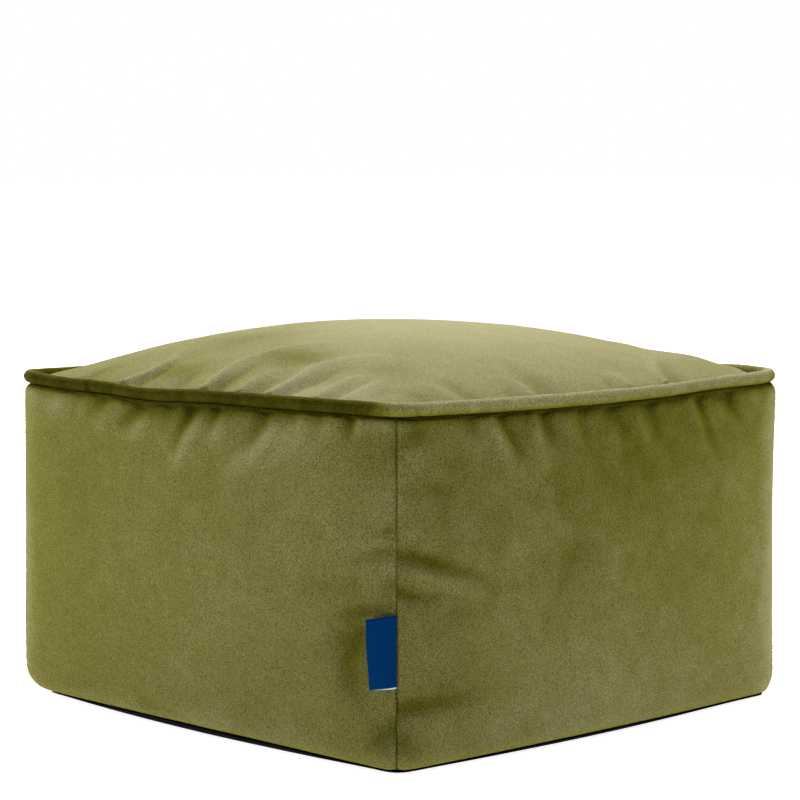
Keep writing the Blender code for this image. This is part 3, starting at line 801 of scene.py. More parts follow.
topFolds = [
    ([(-0.231, -0.24), (-0.22, -0.216)], 0.006, 0.0014, 0.12),
    ([(-0.168, -0.256), (-0.174, -0.214)], 0.0065, 0.0018, 0.16),
    ([(-0.15, -0.256), (-0.152, -0.226)], 0.007, -0.0018, -0.18),
    ([(-0.093, -0.26), (-0.078, -0.24), (-0.079, -0.216), (-0.111, -0.16)], 0.0075, 0.003, 0.22),
    ([(-0.072, -0.26), (-0.066, -0.238), (-0.072, -0.21)], 0.0085, -0.003, -0.3),
    ([(-0.014, -0.26), (-0.016, -0.232)], 0.008, -0.002, -0.22),
    (
        [(0.025, -0.262), (0.021, -0.241), (0.015, -0.212), (0.023, -0.17), (0.047, -0.125)],
        0.0085, 0.0034, 0.24,
    ),
    ([(0.039, -0.262), (0.039, -0.24), (0.035, -0.208)], 0.0085, -0.0034, -0.34),
    ([(0.068, -0.26), (0.065, -0.24), (0.068, -0.214)], 0.0065, 0.0024, 0.2),
    ([(0.086, -0.26), (0.085, -0.232)], 0.008, -0.0028, -0.3),
    (
        [(0.105, -0.258), (0.107, -0.232), (0.097, -0.202), (0.103, -0.168), (0.118, -0.128)],
        0.009, 0.0038, 0.26,
    ),
    ([(0.116, -0.256), (0.123, -0.224), (0.12, -0.18)], 0.0085, -0.0034, -0.3),
    ([(0.157, -0.252), (0.151, -0.227), (0.149, -0.204), (0.167, -0.175)], 0.0075, 0.0028, 0.2),
    ([(0.17, -0.246), (0.168, -0.2)], 0.008, -0.0028, -0.26),
    ([(0.18, -0.246), (0.176, -0.216), (0.172, -0.18)], 0.007, 0.0024, 0.2),
    ([(0.2, -0.226), (0.194, -0.2)], 0.008, -0.002, -0.2),
    ([(0.252, -0.178), (0.223, -0.174), (0.192, -0.176)], 0.0075, 0.0026, 0.2),
    ([(0.244, -0.203), (0.225, -0.202), (0.2, -0.206)], 0.0075, -0.0022, -0.2),
    ([(0.252, -0.16), (0.236, -0.159), (0.2, -0.152)], 0.008, -0.0026, -0.26),
    ([(0.259, -0.097), (0.24, -0.092), (0.212, -0.094)], 0.007, 0.0026, 0.2),
    ([(0.257, -0.117), (0.238, -0.115)], 0.007, -0.002, -0.2),
    ([(0.26, -0.079), (0.219, -0.069), (0.176, -0.056)], 0.012, -0.0034, -0.24),
    ([(0.267, 0.022), (0.249, 0.025), (0.226, 0.025)], 0.007, 0.0022, 0.18),
    ([(0.264, 0.004), (0.24, 0.006)], 0.0075, -0.0018, -0.16),
    ([(0.263, 0.074), (0.242, 0.084), (0.194, 0.126)], 0.006, 0.0028, 0.28),
    ([(0.259, 0.09), (0.24, 0.101), (0.21, 0.127)], 0.0075, -0.0026, -0.24),
    ([(0.243, 0.202), (0.203, 0.233)], 0.007, 0.002, 0.14),
    ([(0.203, 0.017), (0.16, 0.024), (0.126, 0.031)], 0.004, 0.0009, 0.12),
    # beside the rear and the left seam
    ([(0.112, 0.256), (0.104, 0.176)], 0.0085, 0.003, 0.22),
    ([(0.092, 0.258), (0.088, 0.2)], 0.0085, -0.003, -0.28),
    ([(0.03, 0.26), (0.022, 0.19)], 0.0085, -0.003, -0.28),
    ([(-0.07, 0.26), (-0.06, 0.168)], 0.0085, 0.003, 0.22),
    ([(-0.09, 0.26), (-0.086, 0.204)], 0.0085, -0.0028, -0.26),
    ([(-0.152, 0.25), (-0.146, 0.188)], 0.008, -0.0026, -0.24),
    ([(-0.254, 0.13), (-0.188, 0.116)], 0.0085, 0.003, 0.22),
    ([(-0.256, 0.108), (-0.206, 0.096)], 0.0085, -0.0026, -0.26),
    ([(-0.262, 0.02), (-0.193, 0.03)], 0.0085, -0.003, -0.28),
    ([(-0.26, -0.09), (-0.198, -0.08)], 0.0085, 0.003, 0.22),
    ([(-0.26, -0.112), (-0.214, -0.106)], 0.0085, -0.0026, -0.26),
    ([(-0.252, -0.17), (-0.216, -0.16)], 0.0075, -0.002, -0.2),
]
sideFolds = [frontFolds, rightFolds, rearFolds, leftFolds]

sewing = {
    "foldStart": 1.25,  # a trough's width at its seam, and at its end, as shares of its width
    "foldEnd": 0.65,
    "ridgeStart": 0.75,
    "ridgeEnd": 1.35,
    "foldTaper": 0.8,  # how early a fold dies out along its route
    "seamFade": 0.0035,  # folds rise to full height this far from a seam
    "hemFade": 0.012,
    "slackFrom": 0.006,  # height where the cloth's slack begins to show
    "slackFade": 0.02,
    "cornerDepth": 0.0016,  # the corner seams' fine groove
    "cornerWidth": 0.0011,
    "cornerDip": 0.0009,  # the wider dip on both sides of it
    "cornerDipWidth": 0.0050,
    "cornerZone": 0.15,  # x and y beyond which a point belongs to a corner
    "puckerHeight": 0.00035,
    "puckerPitch": 0.011,
    "puckerDrift": 3,  # its pitch wanders
    "puckerDriftWaves": 37,
    "softWaves": [(0.0006, 14.0), (0.00025, 42.0)],  # height and waves a metre of the cloth's slack
    "napWaves": [(0.07, 11.0)],
    "mottle": [(0.13, 27.0), (0.20, 62.0)],
    "mottleOfSides": [0.30, 0.80, 0.70, 0.55],
    "mottleOfTop": 0.2,
    "mottleHeights": [0.05, 0.19],  # it fades between these heights to its low share
    "mottleLow": 0.35,
    # how strongly the folds' painted highlight and shade show, on the sides and on top
    "toneShare": 1.45,
    "topToneShare": 1.05,
    "lipShades": [(1.00, 0.0024), (0.60, 0.0065)],  # painted shade under the piping, and how far down
    # painted shade in the groove that holds the piping
    "grooveShade": 1.0,
    # painted shade just above the base seam
    "hemShade": 0.30,
    "hemReach": 0.003,
    # painted shade along the upright seams' grooves
    "seamShade": 0.45,
}


def routeDistance(places, route):
    # how far each place is from the route, and how far along the route (0 to 1) it is nearest to
    route = np.array(route)
    lengths = np.linalg.norm(np.diff(route, axis=0), axis=1)
    starts = np.concatenate([[0.0], np.cumsum(lengths)])
    nearest = np.full(len(places), 1e9)
    run = np.zeros(len(places))
    for start, end, length, before in zip(route[:-1], route[1:], lengths, starts[:-1]):
        step = np.clip((places - start) @ (end - start) / length**2, 0, 1)
        distance = np.linalg.norm(places - start - step[:, None] * (end - start), axis=1)
        closer = distance < nearest
        nearest[closer] = distance[closer]
        run[closer] = ((before + step * length) / starts[-1])[closer]
    return nearest, run


def foldShape(places, folds):
    # height, and the painted highlight and shade, that the folds give to each place of a panel
    height, tone = np.zeros(len(places)), np.zeros(len(places))
    for route, width, rise, shade in folds:
        distance, run = routeDistance(places, route)
        first, last = ("ridgeStart", "ridgeEnd") if rise > 0 else ("foldStart", "foldEnd")
        breadth = width * mix(sewing[first], sewing[last], run)
        amount = np.exp(-((distance / breadth) ** 2)) * np.cos(run * math.pi / 2) ** sewing["foldTaper"]
        height += rise * amount
        tone += shade * amount
    return height, tone


# where in the noise each uneven effect is read
noisePlaces = {
    "pipingForm": (1, 4, 8),
    "pipingNapAndLight": (5, 9, 2),
    "slack": (3, 7, 1),
    "nap": (11, 2, 5),
    "mottle": (2, 8, 6),
    "baseForm": (6, 2, 9),
}


def waves(points, table, place):
    # soft uneven waves, the same on each run
    shift = Vector(noisePlaces[place])
    total = np.zeros(len(points))
    for height, pitch in table:
        total += [height * noise.noise(Vector(point) * pitch + shift) for point in points]
    return total


def panelMasks(data):
    # which vertices lie on the top panel and on the sides, from the marks on the faces
    kinds = np.empty(len(data.polygons), int)
    data.attributes["panelKind"].data.foreach_get("value", kinds)
    sizes = np.empty(len(data.polygons), int)
    data.polygons.foreach_get("loop_total", sizes)
    users = np.empty(len(data.loops), int)
    data.loops.foreach_get("vertex_index", users)
    masks = {}
    for kind, number in kindNumbers.items():
        masks[kind] = np.zeros(len(data.vertices), bool)
        masks[kind][users[np.repeat(kinds == number, sizes)]] = True
    return masks


def sideFrame(points, side):
    # the points turned so that this side faces -Y
    x, y = points[:, 0], points[:, 1]
    for _ in range(side):
        x, y = y, -x
    return np.stack([x, y, points[:, 2]], axis=1)


def sideOf(points):
    # 0 front, 1 right, 2 rear, 3 left
    x, y = points[:, 0], points[:, 1]
    across = np.abs(x) > np.abs(y)
    return np.where(across, np.where(x > 0, 1, 3), np.where(y < 0, 0, 2))


# where a seam's course is worked out: along a side, and up a corner
seamShares, seamRows = np.linspace(-1, 1, 41), np.linspace(1, 0, 60)


def seamHeights(seam, number, along, half):
    # a seam's height at each place along its side
    heights = [seam(number, share) for share in seamShares]
    return np.interp(along / (half + cube["seamReach"]), seamShares, heights)


def sideParts(points, mask):
    # each side's points in the mask, turned to face -Y, and how far down from the top seam they lie
    side = sideOf(points)
    for number in range(4):
        chosen = mask & (side == number)
        turned = sideFrame(points[chosen], number)
        down = seamHeights(seamHeight, number, turned[:, 0], cube["topHalf"]) - turned[:, 2]
        yield number, chosen, turned, down


def cornerLine(corner):
    # places of the upright seam at rising heights
    return np.array([sidePoint(corner, -1, row) for row in seamRows])


def cornerSpot(line, height):
    # x and y of that seam at a height
    return [np.interp(height, line[:, 2], line[:, axis]) for axis in (0, 1)]


def cornerOutwards(corner):
    return Vector((corner["signX"], corner["signY"], 0)).normalized()


def cornerSewing(points, sidesMask):
    # depth of the groove along the four upright seams, and how near each point is to one
    depth, near = np.zeros(len(points)), np.zeros(len(points))
    for number, corner in enumerate(corners):
        x, y = cornerSpot(cornerLine(number), points[:, 2])
        across = (points[:, 0] - x) * -corner["signY"] + (points[:, 1] - y) * corner["signX"]
        across *= diagonal
        outer = sidesMask & (points[:, 0] * corner["signX"] > sewing["cornerZone"])
        outer &= points[:, 1] * corner["signY"] > sewing["cornerZone"]
        groove = np.exp(-((across / sewing["cornerWidth"]) ** 2)) * outer
        dip = np.exp(-((across / sewing["cornerDipWidth"]) ** 2)) * outer
        drift = sewing["puckerDrift"] * np.sin(points[:, 2] * sewing["puckerDriftWaves"])
        pucker = np.sin(points[:, 2] * 2 * math.pi / sewing["puckerPitch"] + drift)
        depth += sewing["cornerDepth"] * groove + sewing["cornerDip"] * dip
        depth += sewing["puckerHeight"] * pucker * (dip - groove)
        near = np.maximum(near, groove)
    return depth, near


def shapeCube(item):
    print("velvet cube: folds and sewing")
    points, masks = meshPoints(item.data), panelMasks(item.data)
    height, tone = np.zeros(len(points)), np.zeros(len(points))
    for number, chosen, turned, down in sideParts(points, masks["side"]):
        push, shade = foldShape(np.stack([turned[:, 0], down], axis=1), sideFolds[number])
        low = turned[:, 2] - cube["baseThickness"]
        fade = smoothStep(down / sewing["seamFade"]) * smoothStep(low / sewing["hemFade"])
        height[chosen] += push * fade
        # painted highlight on the folds' ridges, painted shade in their troughs
        tone[chosen] += shade * sewing["toneShare"]
        # painted shade under the piping
        for shade, reach in sewing["lipShades"]:
            tone[chosen] -= shade * np.exp(-((down / reach) ** 2))
    rim = crownGap(points)
    chosen = masks["top"]
    push, shade = foldShape(points[chosen][:, :2], topFolds)
    height[chosen] += push * smoothStep(rim[chosen] / sewing["seamFade"])
    # painted highlight and shade of the top's folds
    tone[chosen] += shade * sewing["topToneShare"]
    # painted shade in the groove under the piping
    tone[masks["groove"]] -= sewing["grooveShade"]
    free = masks["side"] | masks["top"]
    inwards = np.where(masks["top"], rim, points[:, 2] - sewing["slackFrom"])
    edge = smoothStep(inwards / sewing["slackFade"])
    height[free] += (waves(points, sewing["softWaves"], "slack") * edge)[free]
    depth, seamNear = cornerSewing(points, masks["side"])
    height -= depth
    # painted shade along the upright seams
    tone -= sewing["seamShade"] * seamNear
    tone += waves(points, sewing["napWaves"], "nap")
    mottle = np.array(sewing["mottleOfSides"])[sideOf(points)]
    mottle *= np.interp(points[:, 2], sewing["mottleHeights"], [sewing["mottleLow"], 1.0])
    mottle[masks["top"]] = sewing["mottleOfTop"]
    tone += waves(points, sewing["mottle"], "mottle") * mottle
    # painted shade just above the base seam
    hem = sewing["hemShade"] * np.exp(-((hemGap(points, masks["side"]) / sewing["hemReach"]) ** 2))
    tone[masks["side"]] -= hem[masks["side"]]
    # the patches' painted sheen and shade, and the nap's own lay
    tone += napAndLightTone(points, masks)
    pushOut(item, points, height)
    markNapAndLight(item, tone)


def hemGap(points, mask):
    # how far a point of a side lies above its base seam
    gap = np.zeros(len(points))
    for number, chosen, turned, _ in sideParts(points, mask):
        hem = seamHeights(baseRise, number, turned[:, 0], cube["baseHalf"]) + cube["baseThickness"]
        gap[chosen] = np.maximum(turned[:, 2] - hem, 0)
    return gap


def crownGap(points):
    # how far a point of the top panel lies in from the rim, about
    across = np.maximum(np.abs(points[:, 0]), np.abs(points[:, 1]))
    along = np.minimum(np.abs(points[:, 0]), np.abs(points[:, 1]))
    reach = cube["topHalf"] + cube["topBulge"] * (1 - (along / cube["topHalf"]) ** 2)
    return np.maximum(0, reach - cube["rimInset"] - across)


# soft patches where the velvet is painted lighter or darker: panel, middle, size and tone. A patch on a side
# is
# placed like a fold, along and down, and one on top by x and y.
# some follow the nap's own lay; others are painted sheen along the left and right edges and over the crown,
# and painted shade under the piping and beside the label
napAndLightPatches = [
    ("right", (0.07, 0.02), (0.2, 0.11), -0.34),
    ("right", (0.12, 0.0), (0.14, 0.03), -0.2),
    ("front", (-0.2, 0.14), (0.1, 0.2), -0.1),
    ("right", (-0.2, 0.1), (0.06, 0.2), -0.1),
    ("right", (-0.02, 0.27), (0.17, 0.06), 0.2),
    # painted sheen along the right edge
    ("right", (0.242, 0.14), (0.024, 0.2), 0.75),
    ("right", (0.19, 0.14), (0.03, 0.14), 0.08),
    ("right", (-0.234, 0.014), (0.016, 0.009), -0.45),
    ("right", (-0.115, 0.012), (0.014, 0.012), -0.25),
    ("right", (-0.085, 0.05), (0.03, 0.05), -0.1),
    ("right", (0.138, 0.006), (0.014, 0.008), -0.26),
    ("right", (0.0, 0.06), (0.06, 0.04), -0.14),
    # painted sheen along the left edge
    ("front", (-0.25, 0.16), (0.018, 0.2), 0.46),
    ("front", (-0.236, 0.004), (0.014, 0.008), 0.4),
    ("front", (-0.142, 0.004), (0.012, 0.006), -0.3),
    ("front", (-0.038, 0.008), (0.012, 0.01), -0.22),
    ("front", (0.0, 0.284), (0.2, 0.012), 0.2),
    ("top", (0.06, -0.236), (0.1, 0.03), -0.1),
    ("top", (-0.13, -0.225), (0.07, 0.05), -0.08),
    ("top", (-0.15, -0.245), (0.045, 0.03), -0.2),
    ("top", (-0.042, -0.235), (0.03, 0.02), -0.5),
    ("top", (0.056, -0.182), (0.035, 0.024), -0.55),
    ("top", (0.126, -0.244), (0.024, 0.022), 0.46),
    ("top", (0.182, -0.228), (0.03, 0.028), 0.4),
    ("top", (-0.062, -0.138), (0.05, 0.045), -0.36),
    ("top", (0.152, -0.17), (0.025, 0.02), -0.24),
    ("top", (0.19, 0.16), (0.03, 0.03), 0.18),
    # painted shadow of the label
    ("front", (0.215, 0.222), (0.03, 0.045), -0.22),
    ("front", (0.24, 0.03), (0.04, 0.03), -0.26),
    ("front", (0.24, 0.28), (0.05, 0.03), -0.08),
    ("front", (0.015, 0.003), (0.1, 0.013), -0.42),
    ("front", (-0.195, 0.013), (0.04, 0.014), 0.26),
    ("front", (0.132, 0.026), (0.02, 0.014), 0.2),
    ("front", (0.236, 0.004), (0.022, 0.008), 0.5),
    ("rear", (0.0, 0.03), (0.22, 0.05), -0.14),
    ("left", (0.04, 0.03), (0.22, 0.05), -0.12),
    # painted sheen over the crown
    ("top", (0.0, 0.0), (0.6, 0.6), 0.53),
    ("top", (0.03, 0.02), (0.18, 0.18), 0.48),
    ("right", (-0.248, 0.006), (0.012, 0.012), 0.3),
    ("right", (-0.19, 0.235), (0.05, 0.02), -0.18),
    ("front", (-0.1, 0.01), (0.05, 0.016), -0.12),
]


def napAndLightTone(points, masks):
    # tone that the patches give to each point
    places = {"top": (masks["top"], points[masks["top"]][:, 0], points[masks["top"]][:, 1])}
    for number, chosen, turned, down in sideParts(points, masks["side"]):
        places[("front", "right", "rear", "left")[number]] = (chosen, turned[:, 0], down)
    tone = np.zeros(len(points))
    for panel, middle, size, shade in napAndLightPatches:
        chosen, along, down = places[panel]
        across, deep = (along - middle[0]) / size[0], (down - middle[1]) / size[1]
        tone[chosen] += shade * np.exp(-(across**2) - deep**2)
    return tone


# the cube is filled like a cushion: its panels swell between their seams under a little pressure
filling = {
    "slack": 0.0030,  # the side panels start this much smaller
    "topSlack": 0.0002,
    "slackRun": 0.045,  # reached this far from their seams
    "hemHeight": 0.012,
    "cornerReach": 0.004,
    "pinnedBelow": 0.02,  # a point with less freedom than this is held
    "middle": 0.9,  # and one with more than this counts as the middle of its panel
    "pressure": 4.0,
    "frames": 20,
    "quality": 6,
    "mass": 0.30,
    "stiffness": 14.0,
    "bending": 2.0,
    "most": 0.0060,  # no point moves further than this
}


def seamFreedom(points, masks):
    # 0 on a seam, 1 where the cloth is free to swell
    free = np.zeros(len(points))
    run = filling["slackRun"]
    top = masks["top"] & ~masks["groove"]
    free[top] = smoothStep(crownGap(points)[top] / run)
    inner = masks["side"] & ~masks["groove"] & ~masks["under"]
    for _, chosen, turned, down in sideParts(points, inner):
        low = turned[:, 2] - filling["hemHeight"]
        corner = cube["topHalf"] - np.abs(turned[:, 0]) + filling["cornerReach"]
        free[chosen] = smoothStep(down / run) * smoothStep(low / run) * smoothStep(corner / run)
    return free


def fillCube(item):
    print("velvet cube: filling it")
    points, masks = meshPoints(item.data), panelMasks(item.data)
    free = seamFreedom(points, masks)
    smaller = np.where(masks["top"], filling["topSlack"], filling["slack"])
    slack = pushOut(item, points, -smaller * free)
    pins = item.vertex_groups.new(name="seams")
    for number in np.nonzero(free < filling["pinnedBelow"])[0]:
        pins.add([int(number)], 1.0, "REPLACE")
    cloth = item.modifiers.new("filling", "CLOTH")
    values = cloth.settings
    values.quality = filling["quality"]
    values.mass = filling["mass"]
    values.tension_stiffness = values.compression_stiffness = filling["stiffness"]
    values.shear_stiffness = filling["stiffness"]
    values.bending_stiffness = filling["bending"]
    values.vertex_group_mass = pins.name
    values.use_pressure = True
    values.uniform_pressure_force = filling["pressure"]
    values.effector_weights.gravity = 0
    cloth.collision_settings.use_collision = False
    cloth.point_cache.frame_start, cloth.point_cache.frame_end = 1, filling["frames"]
    for step in range(1, filling["frames"] + 1):
        bpy.context.scene.frame_set(step)
    applyModifiers(item)
    bpy.context.scene.frame_set(1)
    moved = meshPoints(item.data) - slack
    length = np.linalg.norm(moved, axis=1)
    kept = np.minimum(1, filling["most"] / np.maximum(length, 1e-9)) * (free > 0)
    setMeshPoints(item.data, slack + moved * kept[:, None])
    print("velvet cube: swelled by", round(float(length.max()) * 1000, 1), "mm at most,",
          round(float(length[free > filling["middle"]].mean()) * 1000, 1), "mm in the middle of its panels")


def finishCube():
    item = makeCube()
    fillCube(item)
    finer = item.modifiers.new("finer", "SUBSURF")
    finer.levels = finer.render_levels = 1
    applyModifiers(item)
    closeUnderside(item)
    shapeCube(item)
    item.data.materials.append(clothMaterial("velvet"))
    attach(item, body)
    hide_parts("velvet_cube")
    return item


# stitches in the upright seams
stitching = {
    "pitch": 0.0030,
    "length": 0.0017,
    "radius": 0.00030,
    "outwards": -0.0009,  # of the seam line, they lie down in its groove
    "first": 0.010,  # height of the lowest
    "last": 0.292,
    "lean": 0.0003,
    "sides": 5,
    "unevenness": 0.12,  # of a pitch
    "unevenTurn": 2.3,
    "spans": [(-0.5, 0.35), (-0.25, 1.0), (0.25, 1.0), (0.5, 0.35)],  # along a stitch, thickness there
}


def makeStitches():
    print("stitches: thread in the four upright seams")
    points, faces = [], []
    count = int((stitching["last"] - stitching["first"]) / stitching["pitch"])
    spans, sides = stitching["spans"], stitching["sides"]
    for number, corner in enumerate(corners):
        line, outwards = cornerLine(number), cornerOutwards(corner)
        across = Vector((-outwards.y, outwards.x, 0))
        for place in range(count):
            drift = stitching["unevenness"] * math.sin(place * stitching["unevenTurn"] + number)
            height = stitching["first"] + stitching["pitch"] * (place + drift)
            middle = Vector((*cornerSpot(line, height), height)) + outwards * stitching["outwards"]
            first = len(points)
            for share, thick in spans:
                centre = middle + Vector((0, 0, stitching["length"] * share))
                centre = centre + across * stitching["lean"] * share
                for step in range(sides):
                    angle = 2 * math.pi * step / sides
                    ring = across * math.cos(angle) + outwards * math.sin(angle)
                    points.append(centre + ring * stitching["radius"] * thick)
            for ring in range(len(spans) - 1):
                for step in range(sides):
                    low, following = first + ring * sides, (step + 1) % sides
                    faces.append((low + step, low + following, low + sides + following, low + sides + step))
            faces.append([first + step for step in range(sides)][::-1])
            faces.append([first + (len(spans) - 1) * sides + step for step in range(sides)])
    item = meshObject("corner_stitches", points, faces)
    item.data.materials.append(clothMaterial("sewingThread"))
    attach(item, body)
    return item


# dark cloth stretched under the cube
baseCloth = {
    "columns": 96,  # along each side
    "slopes": [0.0, 0.12, 0.26, 0.42, 0.60, 0.80, 1.0],
    "flatInsets": [0.030, 0.060, 0.110, 0.170],
    "cut": 0.530,  # flat square it was cut from
    "unevenness": [(0.0005, 24.0), (0.0003, 60.0)],
    "unevenFrom": 0.003,  # height above the floor where its waves reach their full size
    "insetFade": 0.2,
}


def makeBaseCloth():
    print("base cloth: stretched under the cube")
    shares = evenShares(baseCloth["columns"])

    def flatRing(inset, lift):
        radius = max(cube["baseRadius"] - inset / 2, panels["innerRadius"])

        def place(side, share):
            drawn = baseInset(side, share) * (1 - inset / baseCloth["insetFade"])
            drawn = drawn + cube["baseSlope"] + inset
            return ringPoint(side, share, cube["baseHalf"], cube["baseBulge"], radius, drawn, lift)

        return around(place, shares)

    def layer(lift):
        rings = []
        for slope in baseCloth["slopes"]:
            rings.append(around(lambda side, share: basePoint(side, share, slope, lift), shares))
        return rings + [flatRing(inset, lift) for inset in baseCloth["flatInsets"]]

    upper, lower = layer(cube["baseThickness"]), layer(0)
    rings = upper[::-1] + lower
    size = len(rings[0])
    points = [point for ring in rings for point in ring]
    faces = []
    for ring in range(len(rings) - 1):
        for place in range(size):
            first, second = ring * size + place - 1, ring * size + place
            if place == 0:
                first += size
            faces.append((second, first, first + size, second + size))
    faces.append(list(range(size)))
    faces.append([len(points) - size + place for place in range(size)][::-1])
    item = meshObject("base_cloth_cover", points, faces)
    places = meshPoints(item.data)
    raised = smoothStep((places[:, 2] - cube["baseThickness"]) / baseCloth["unevenFrom"])
    places = pushOut(item, places, waves(places, baseCloth["unevenness"], "baseForm") * raised)
    layOut(item.data, places[:, :2])
    item.data.materials.append(clothMaterial("baseWeave"))
    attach(item, body)
    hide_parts("base_cloth")
    return item


def layOut(data, flat):
    # keeps each point's place in the flat cloth, in metres, for its weave
    layer = data.uv_layers.new(name="cut")
    users = np.empty(len(data.loops), int)
    data.loops.foreach_get("vertex_index", users)
    layer.data.foreach_set("uv", flat[users].astype(np.float32).ravel())


# a ribbon folded in two and sewn into a corner seam
label = {
    "corner": 1,
    "top": 0.1375,  # height of its top end at the seam
    "height": 0.060,
    "width": 0.025,
    "drop": 0.0045,  # how much lower the fold hangs than the sewn edge
    "startAngle": -3 * math.pi / 4,  # it leaves the corner square to it
    "bendTop": 0.070,  # radius in which it bends back along the front, at its top and bottom end
    "bendBottom": 0.027,
    "lift": 0.0012,  # of its middle off the velvet
    "foldRadius": 0.0007,
    "sewnRadius": 0.00025,
    "backDrop": 0.0015,  # the back half hangs lower at the seam
    "thickness": 0.00045,
    "steps": 12,
    "foldSteps": 6,
    "rows": 26,
    "bendPower": 1.5,
    "waviness": 0.00035,
    "waveTurn": 9,  # of its ripple, from its top end to its bottom end
    "waveLean": 2.2,
    "waveShare": 0.7,  # of the ripple along x, and along y
}


def labelPath(height):
    # the folded ribbon seen from above at one height: place, outward side, travelled share of its length
    line, outwards = cornerLine(label["corner"]), cornerOutwards(corners[label["corner"]])
    level = (label["top"] - height) / label["height"]
    bend = 1 / mix(1 / label["bendTop"], 1 / label["bendBottom"], smoothStep(level) ** label["bendPower"])
    place = Vector((*cornerSpot(line, height), 0)) + outwards * label["lift"]
    spine = []
    for step in range(label["steps"] + 1):
        travelled = label["width"] * step / label["steps"]
        angle = label["startAngle"] - travelled / bend
        ahead = Vector((math.cos(angle), math.sin(angle), 0))
        spine.append((place, Vector((-ahead.y, ahead.x, 0)), step / label["steps"]))
        place = place + ahead * label["width"] / label["steps"]
    spot, side, _ = spine[-1]
    turned = list(spine)
    for step in range(1, label["foldSteps"]):
        angle = math.pi * step / label["foldSteps"]
        turned.append((spot, side * math.cos(angle) + ahead * math.sin(angle), 1.0))
    turned += [(spot, -side, 2 - share) for spot, side, share in spine[::-1]]
    path = []
    for spot, side, travelled in turned:
        share = min(travelled, 2 - travelled)
        radius = mix(label["sewnRadius"], label["foldRadius"], math.sqrt(share))
        path.append((spot + side * radius, travelled))
    return path


def makeLabel():
    print("label: folded ribbon in the near corner seam")
    points, flat = [], []
    for row in range(label["rows"] + 1):
        down = label["height"] * row / label["rows"]
        path = labelPath(label["top"] - down)
        for place, travelled in path:
            share = min(travelled, 2 - travelled)
            drop = label["drop"] * share
            if travelled > 1:
                drop += label["backDrop"] * (travelled - 1)
            turn = label["waveTurn"] * down / label["height"] + label["waveLean"] * travelled
            ripple = label["waviness"] * math.sin(turn) * share * label["waveShare"]
            points.append((place.x + ripple, place.y - ripple, label["top"] - down - drop))
            flat.append((travelled * label["width"], down))
    item = meshObject("side_label_ribbon", points, gridFaces(label["rows"], len(path) - 1))
    layOut(item.data, np.array(flat))
    for name in ("labelWeave", "labelReverse"):
        item.data.materials.append(clothMaterial(name))
    thick = item.modifiers.new("thickness", "SOLIDIFY")
    thick.thickness = label["thickness"]
    thick.offset = 0
    thick.material_offset = 1
    thick.material_offset_rim = 1
    applyModifiers(item)
    item.data.shade_smooth()
    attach(item, body)
    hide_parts("side_label")
    return item


def newGroup(name, values):
    # a shared group whose inputs are named and first filled by these values
    group = bpy.data.node_groups.new(name, "ShaderNodeTree")
    for title, value in values.items():
        kind = "NodeSocketFloat" if isinstance(value, float) else "NodeSocketColor"
        group.interface.new_socket(title, in_out="INPUT", socket_type=kind).default_value = value
    for title, kind in (("Colour", "Color"), ("Height", "Float"), ("Roughness", "Float")):
        group.interface.new_socket(title, in_out="OUTPUT", socket_type="NodeSocket" + kind)
    return group, group.nodes.new("NodeGroupInput").outputs


def finishGroup(group, colour, height, roughness):
    leave = group.nodes.new("NodeGroupOutput").inputs
    for title, value in (("Colour", colour), ("Height", height), ("Roughness", roughness)):
        group.links.new(value, leave[title])
    return group


def fillSocket(tree, socket, value):
    # a plain number is set on the socket, and anything else is linked to it
    if isinstance(value, (int, float)):
        socket.default_value = value
    else:
        tree.links.new(value, socket)


def mathNode(tree, operation, *values):
    node = tree.nodes.new("ShaderNodeMath")
    node.operation = operation
    for place, value in enumerate(values):
        fillSocket(tree, node.inputs[place], value)
    return node.outputs["Value"]


def blendNode(tree, factor, first, second):
    blend = tree.nodes.new("ShaderNodeMix")
    blend.data_type = "RGBA"
    for title, value in (("Factor", factor), ("A", first), ("B", second)):
        socket = [entry for entry in blend.inputs if entry.name == title and entry.enabled][0]
        tree.links.new(value, socket)
    return [leave for leave in blend.outputs if leave.enabled][0]


def scaleNode(tree, colour, amount):
    node = tree.nodes.new("ShaderNodeVectorMath")
    node.operation = "SCALE"
    tree.links.new(colour, node.inputs["Vector"])
    tree.links.new(amount, node.inputs["Scale"])
    return node.outputs["Vector"]


def noiseNode(tree, place, scale, detail, roughness, distortion=0.0):
    node = tree.nodes.new("ShaderNodeTexNoise")
    tree.links.new(place, node.inputs["Vector"])
    for title, value in (
        ("Scale", scale), ("Detail", detail), ("Roughness", roughness), ("Distortion", distortion),
    ):
        fillSocket(tree, node.inputs[title], value)
    return node.outputs["Fac"]


# fixed form of the pile, which every velvet shares
pileForm = {
    "clumpEdges": (0.34, 0.66),
    "clumpShare": 0.6,
    "tipShare": 1.8,
    "tipsPerTuft": 1.6,
    "middle": -1.2,  # takes the speckle's mean to 0
    "roughness": (-0.2, 0.92),  # slope with the speckle, and value without
    # the lay of the nap with its painted shade and highlights, 0 to 1, between which each further colour
    # comes in
    "stops": {"Shade": (0.0, 0.25), "Middle": (0.25, 0.5), "Light": (0.5, 1.0)},
}


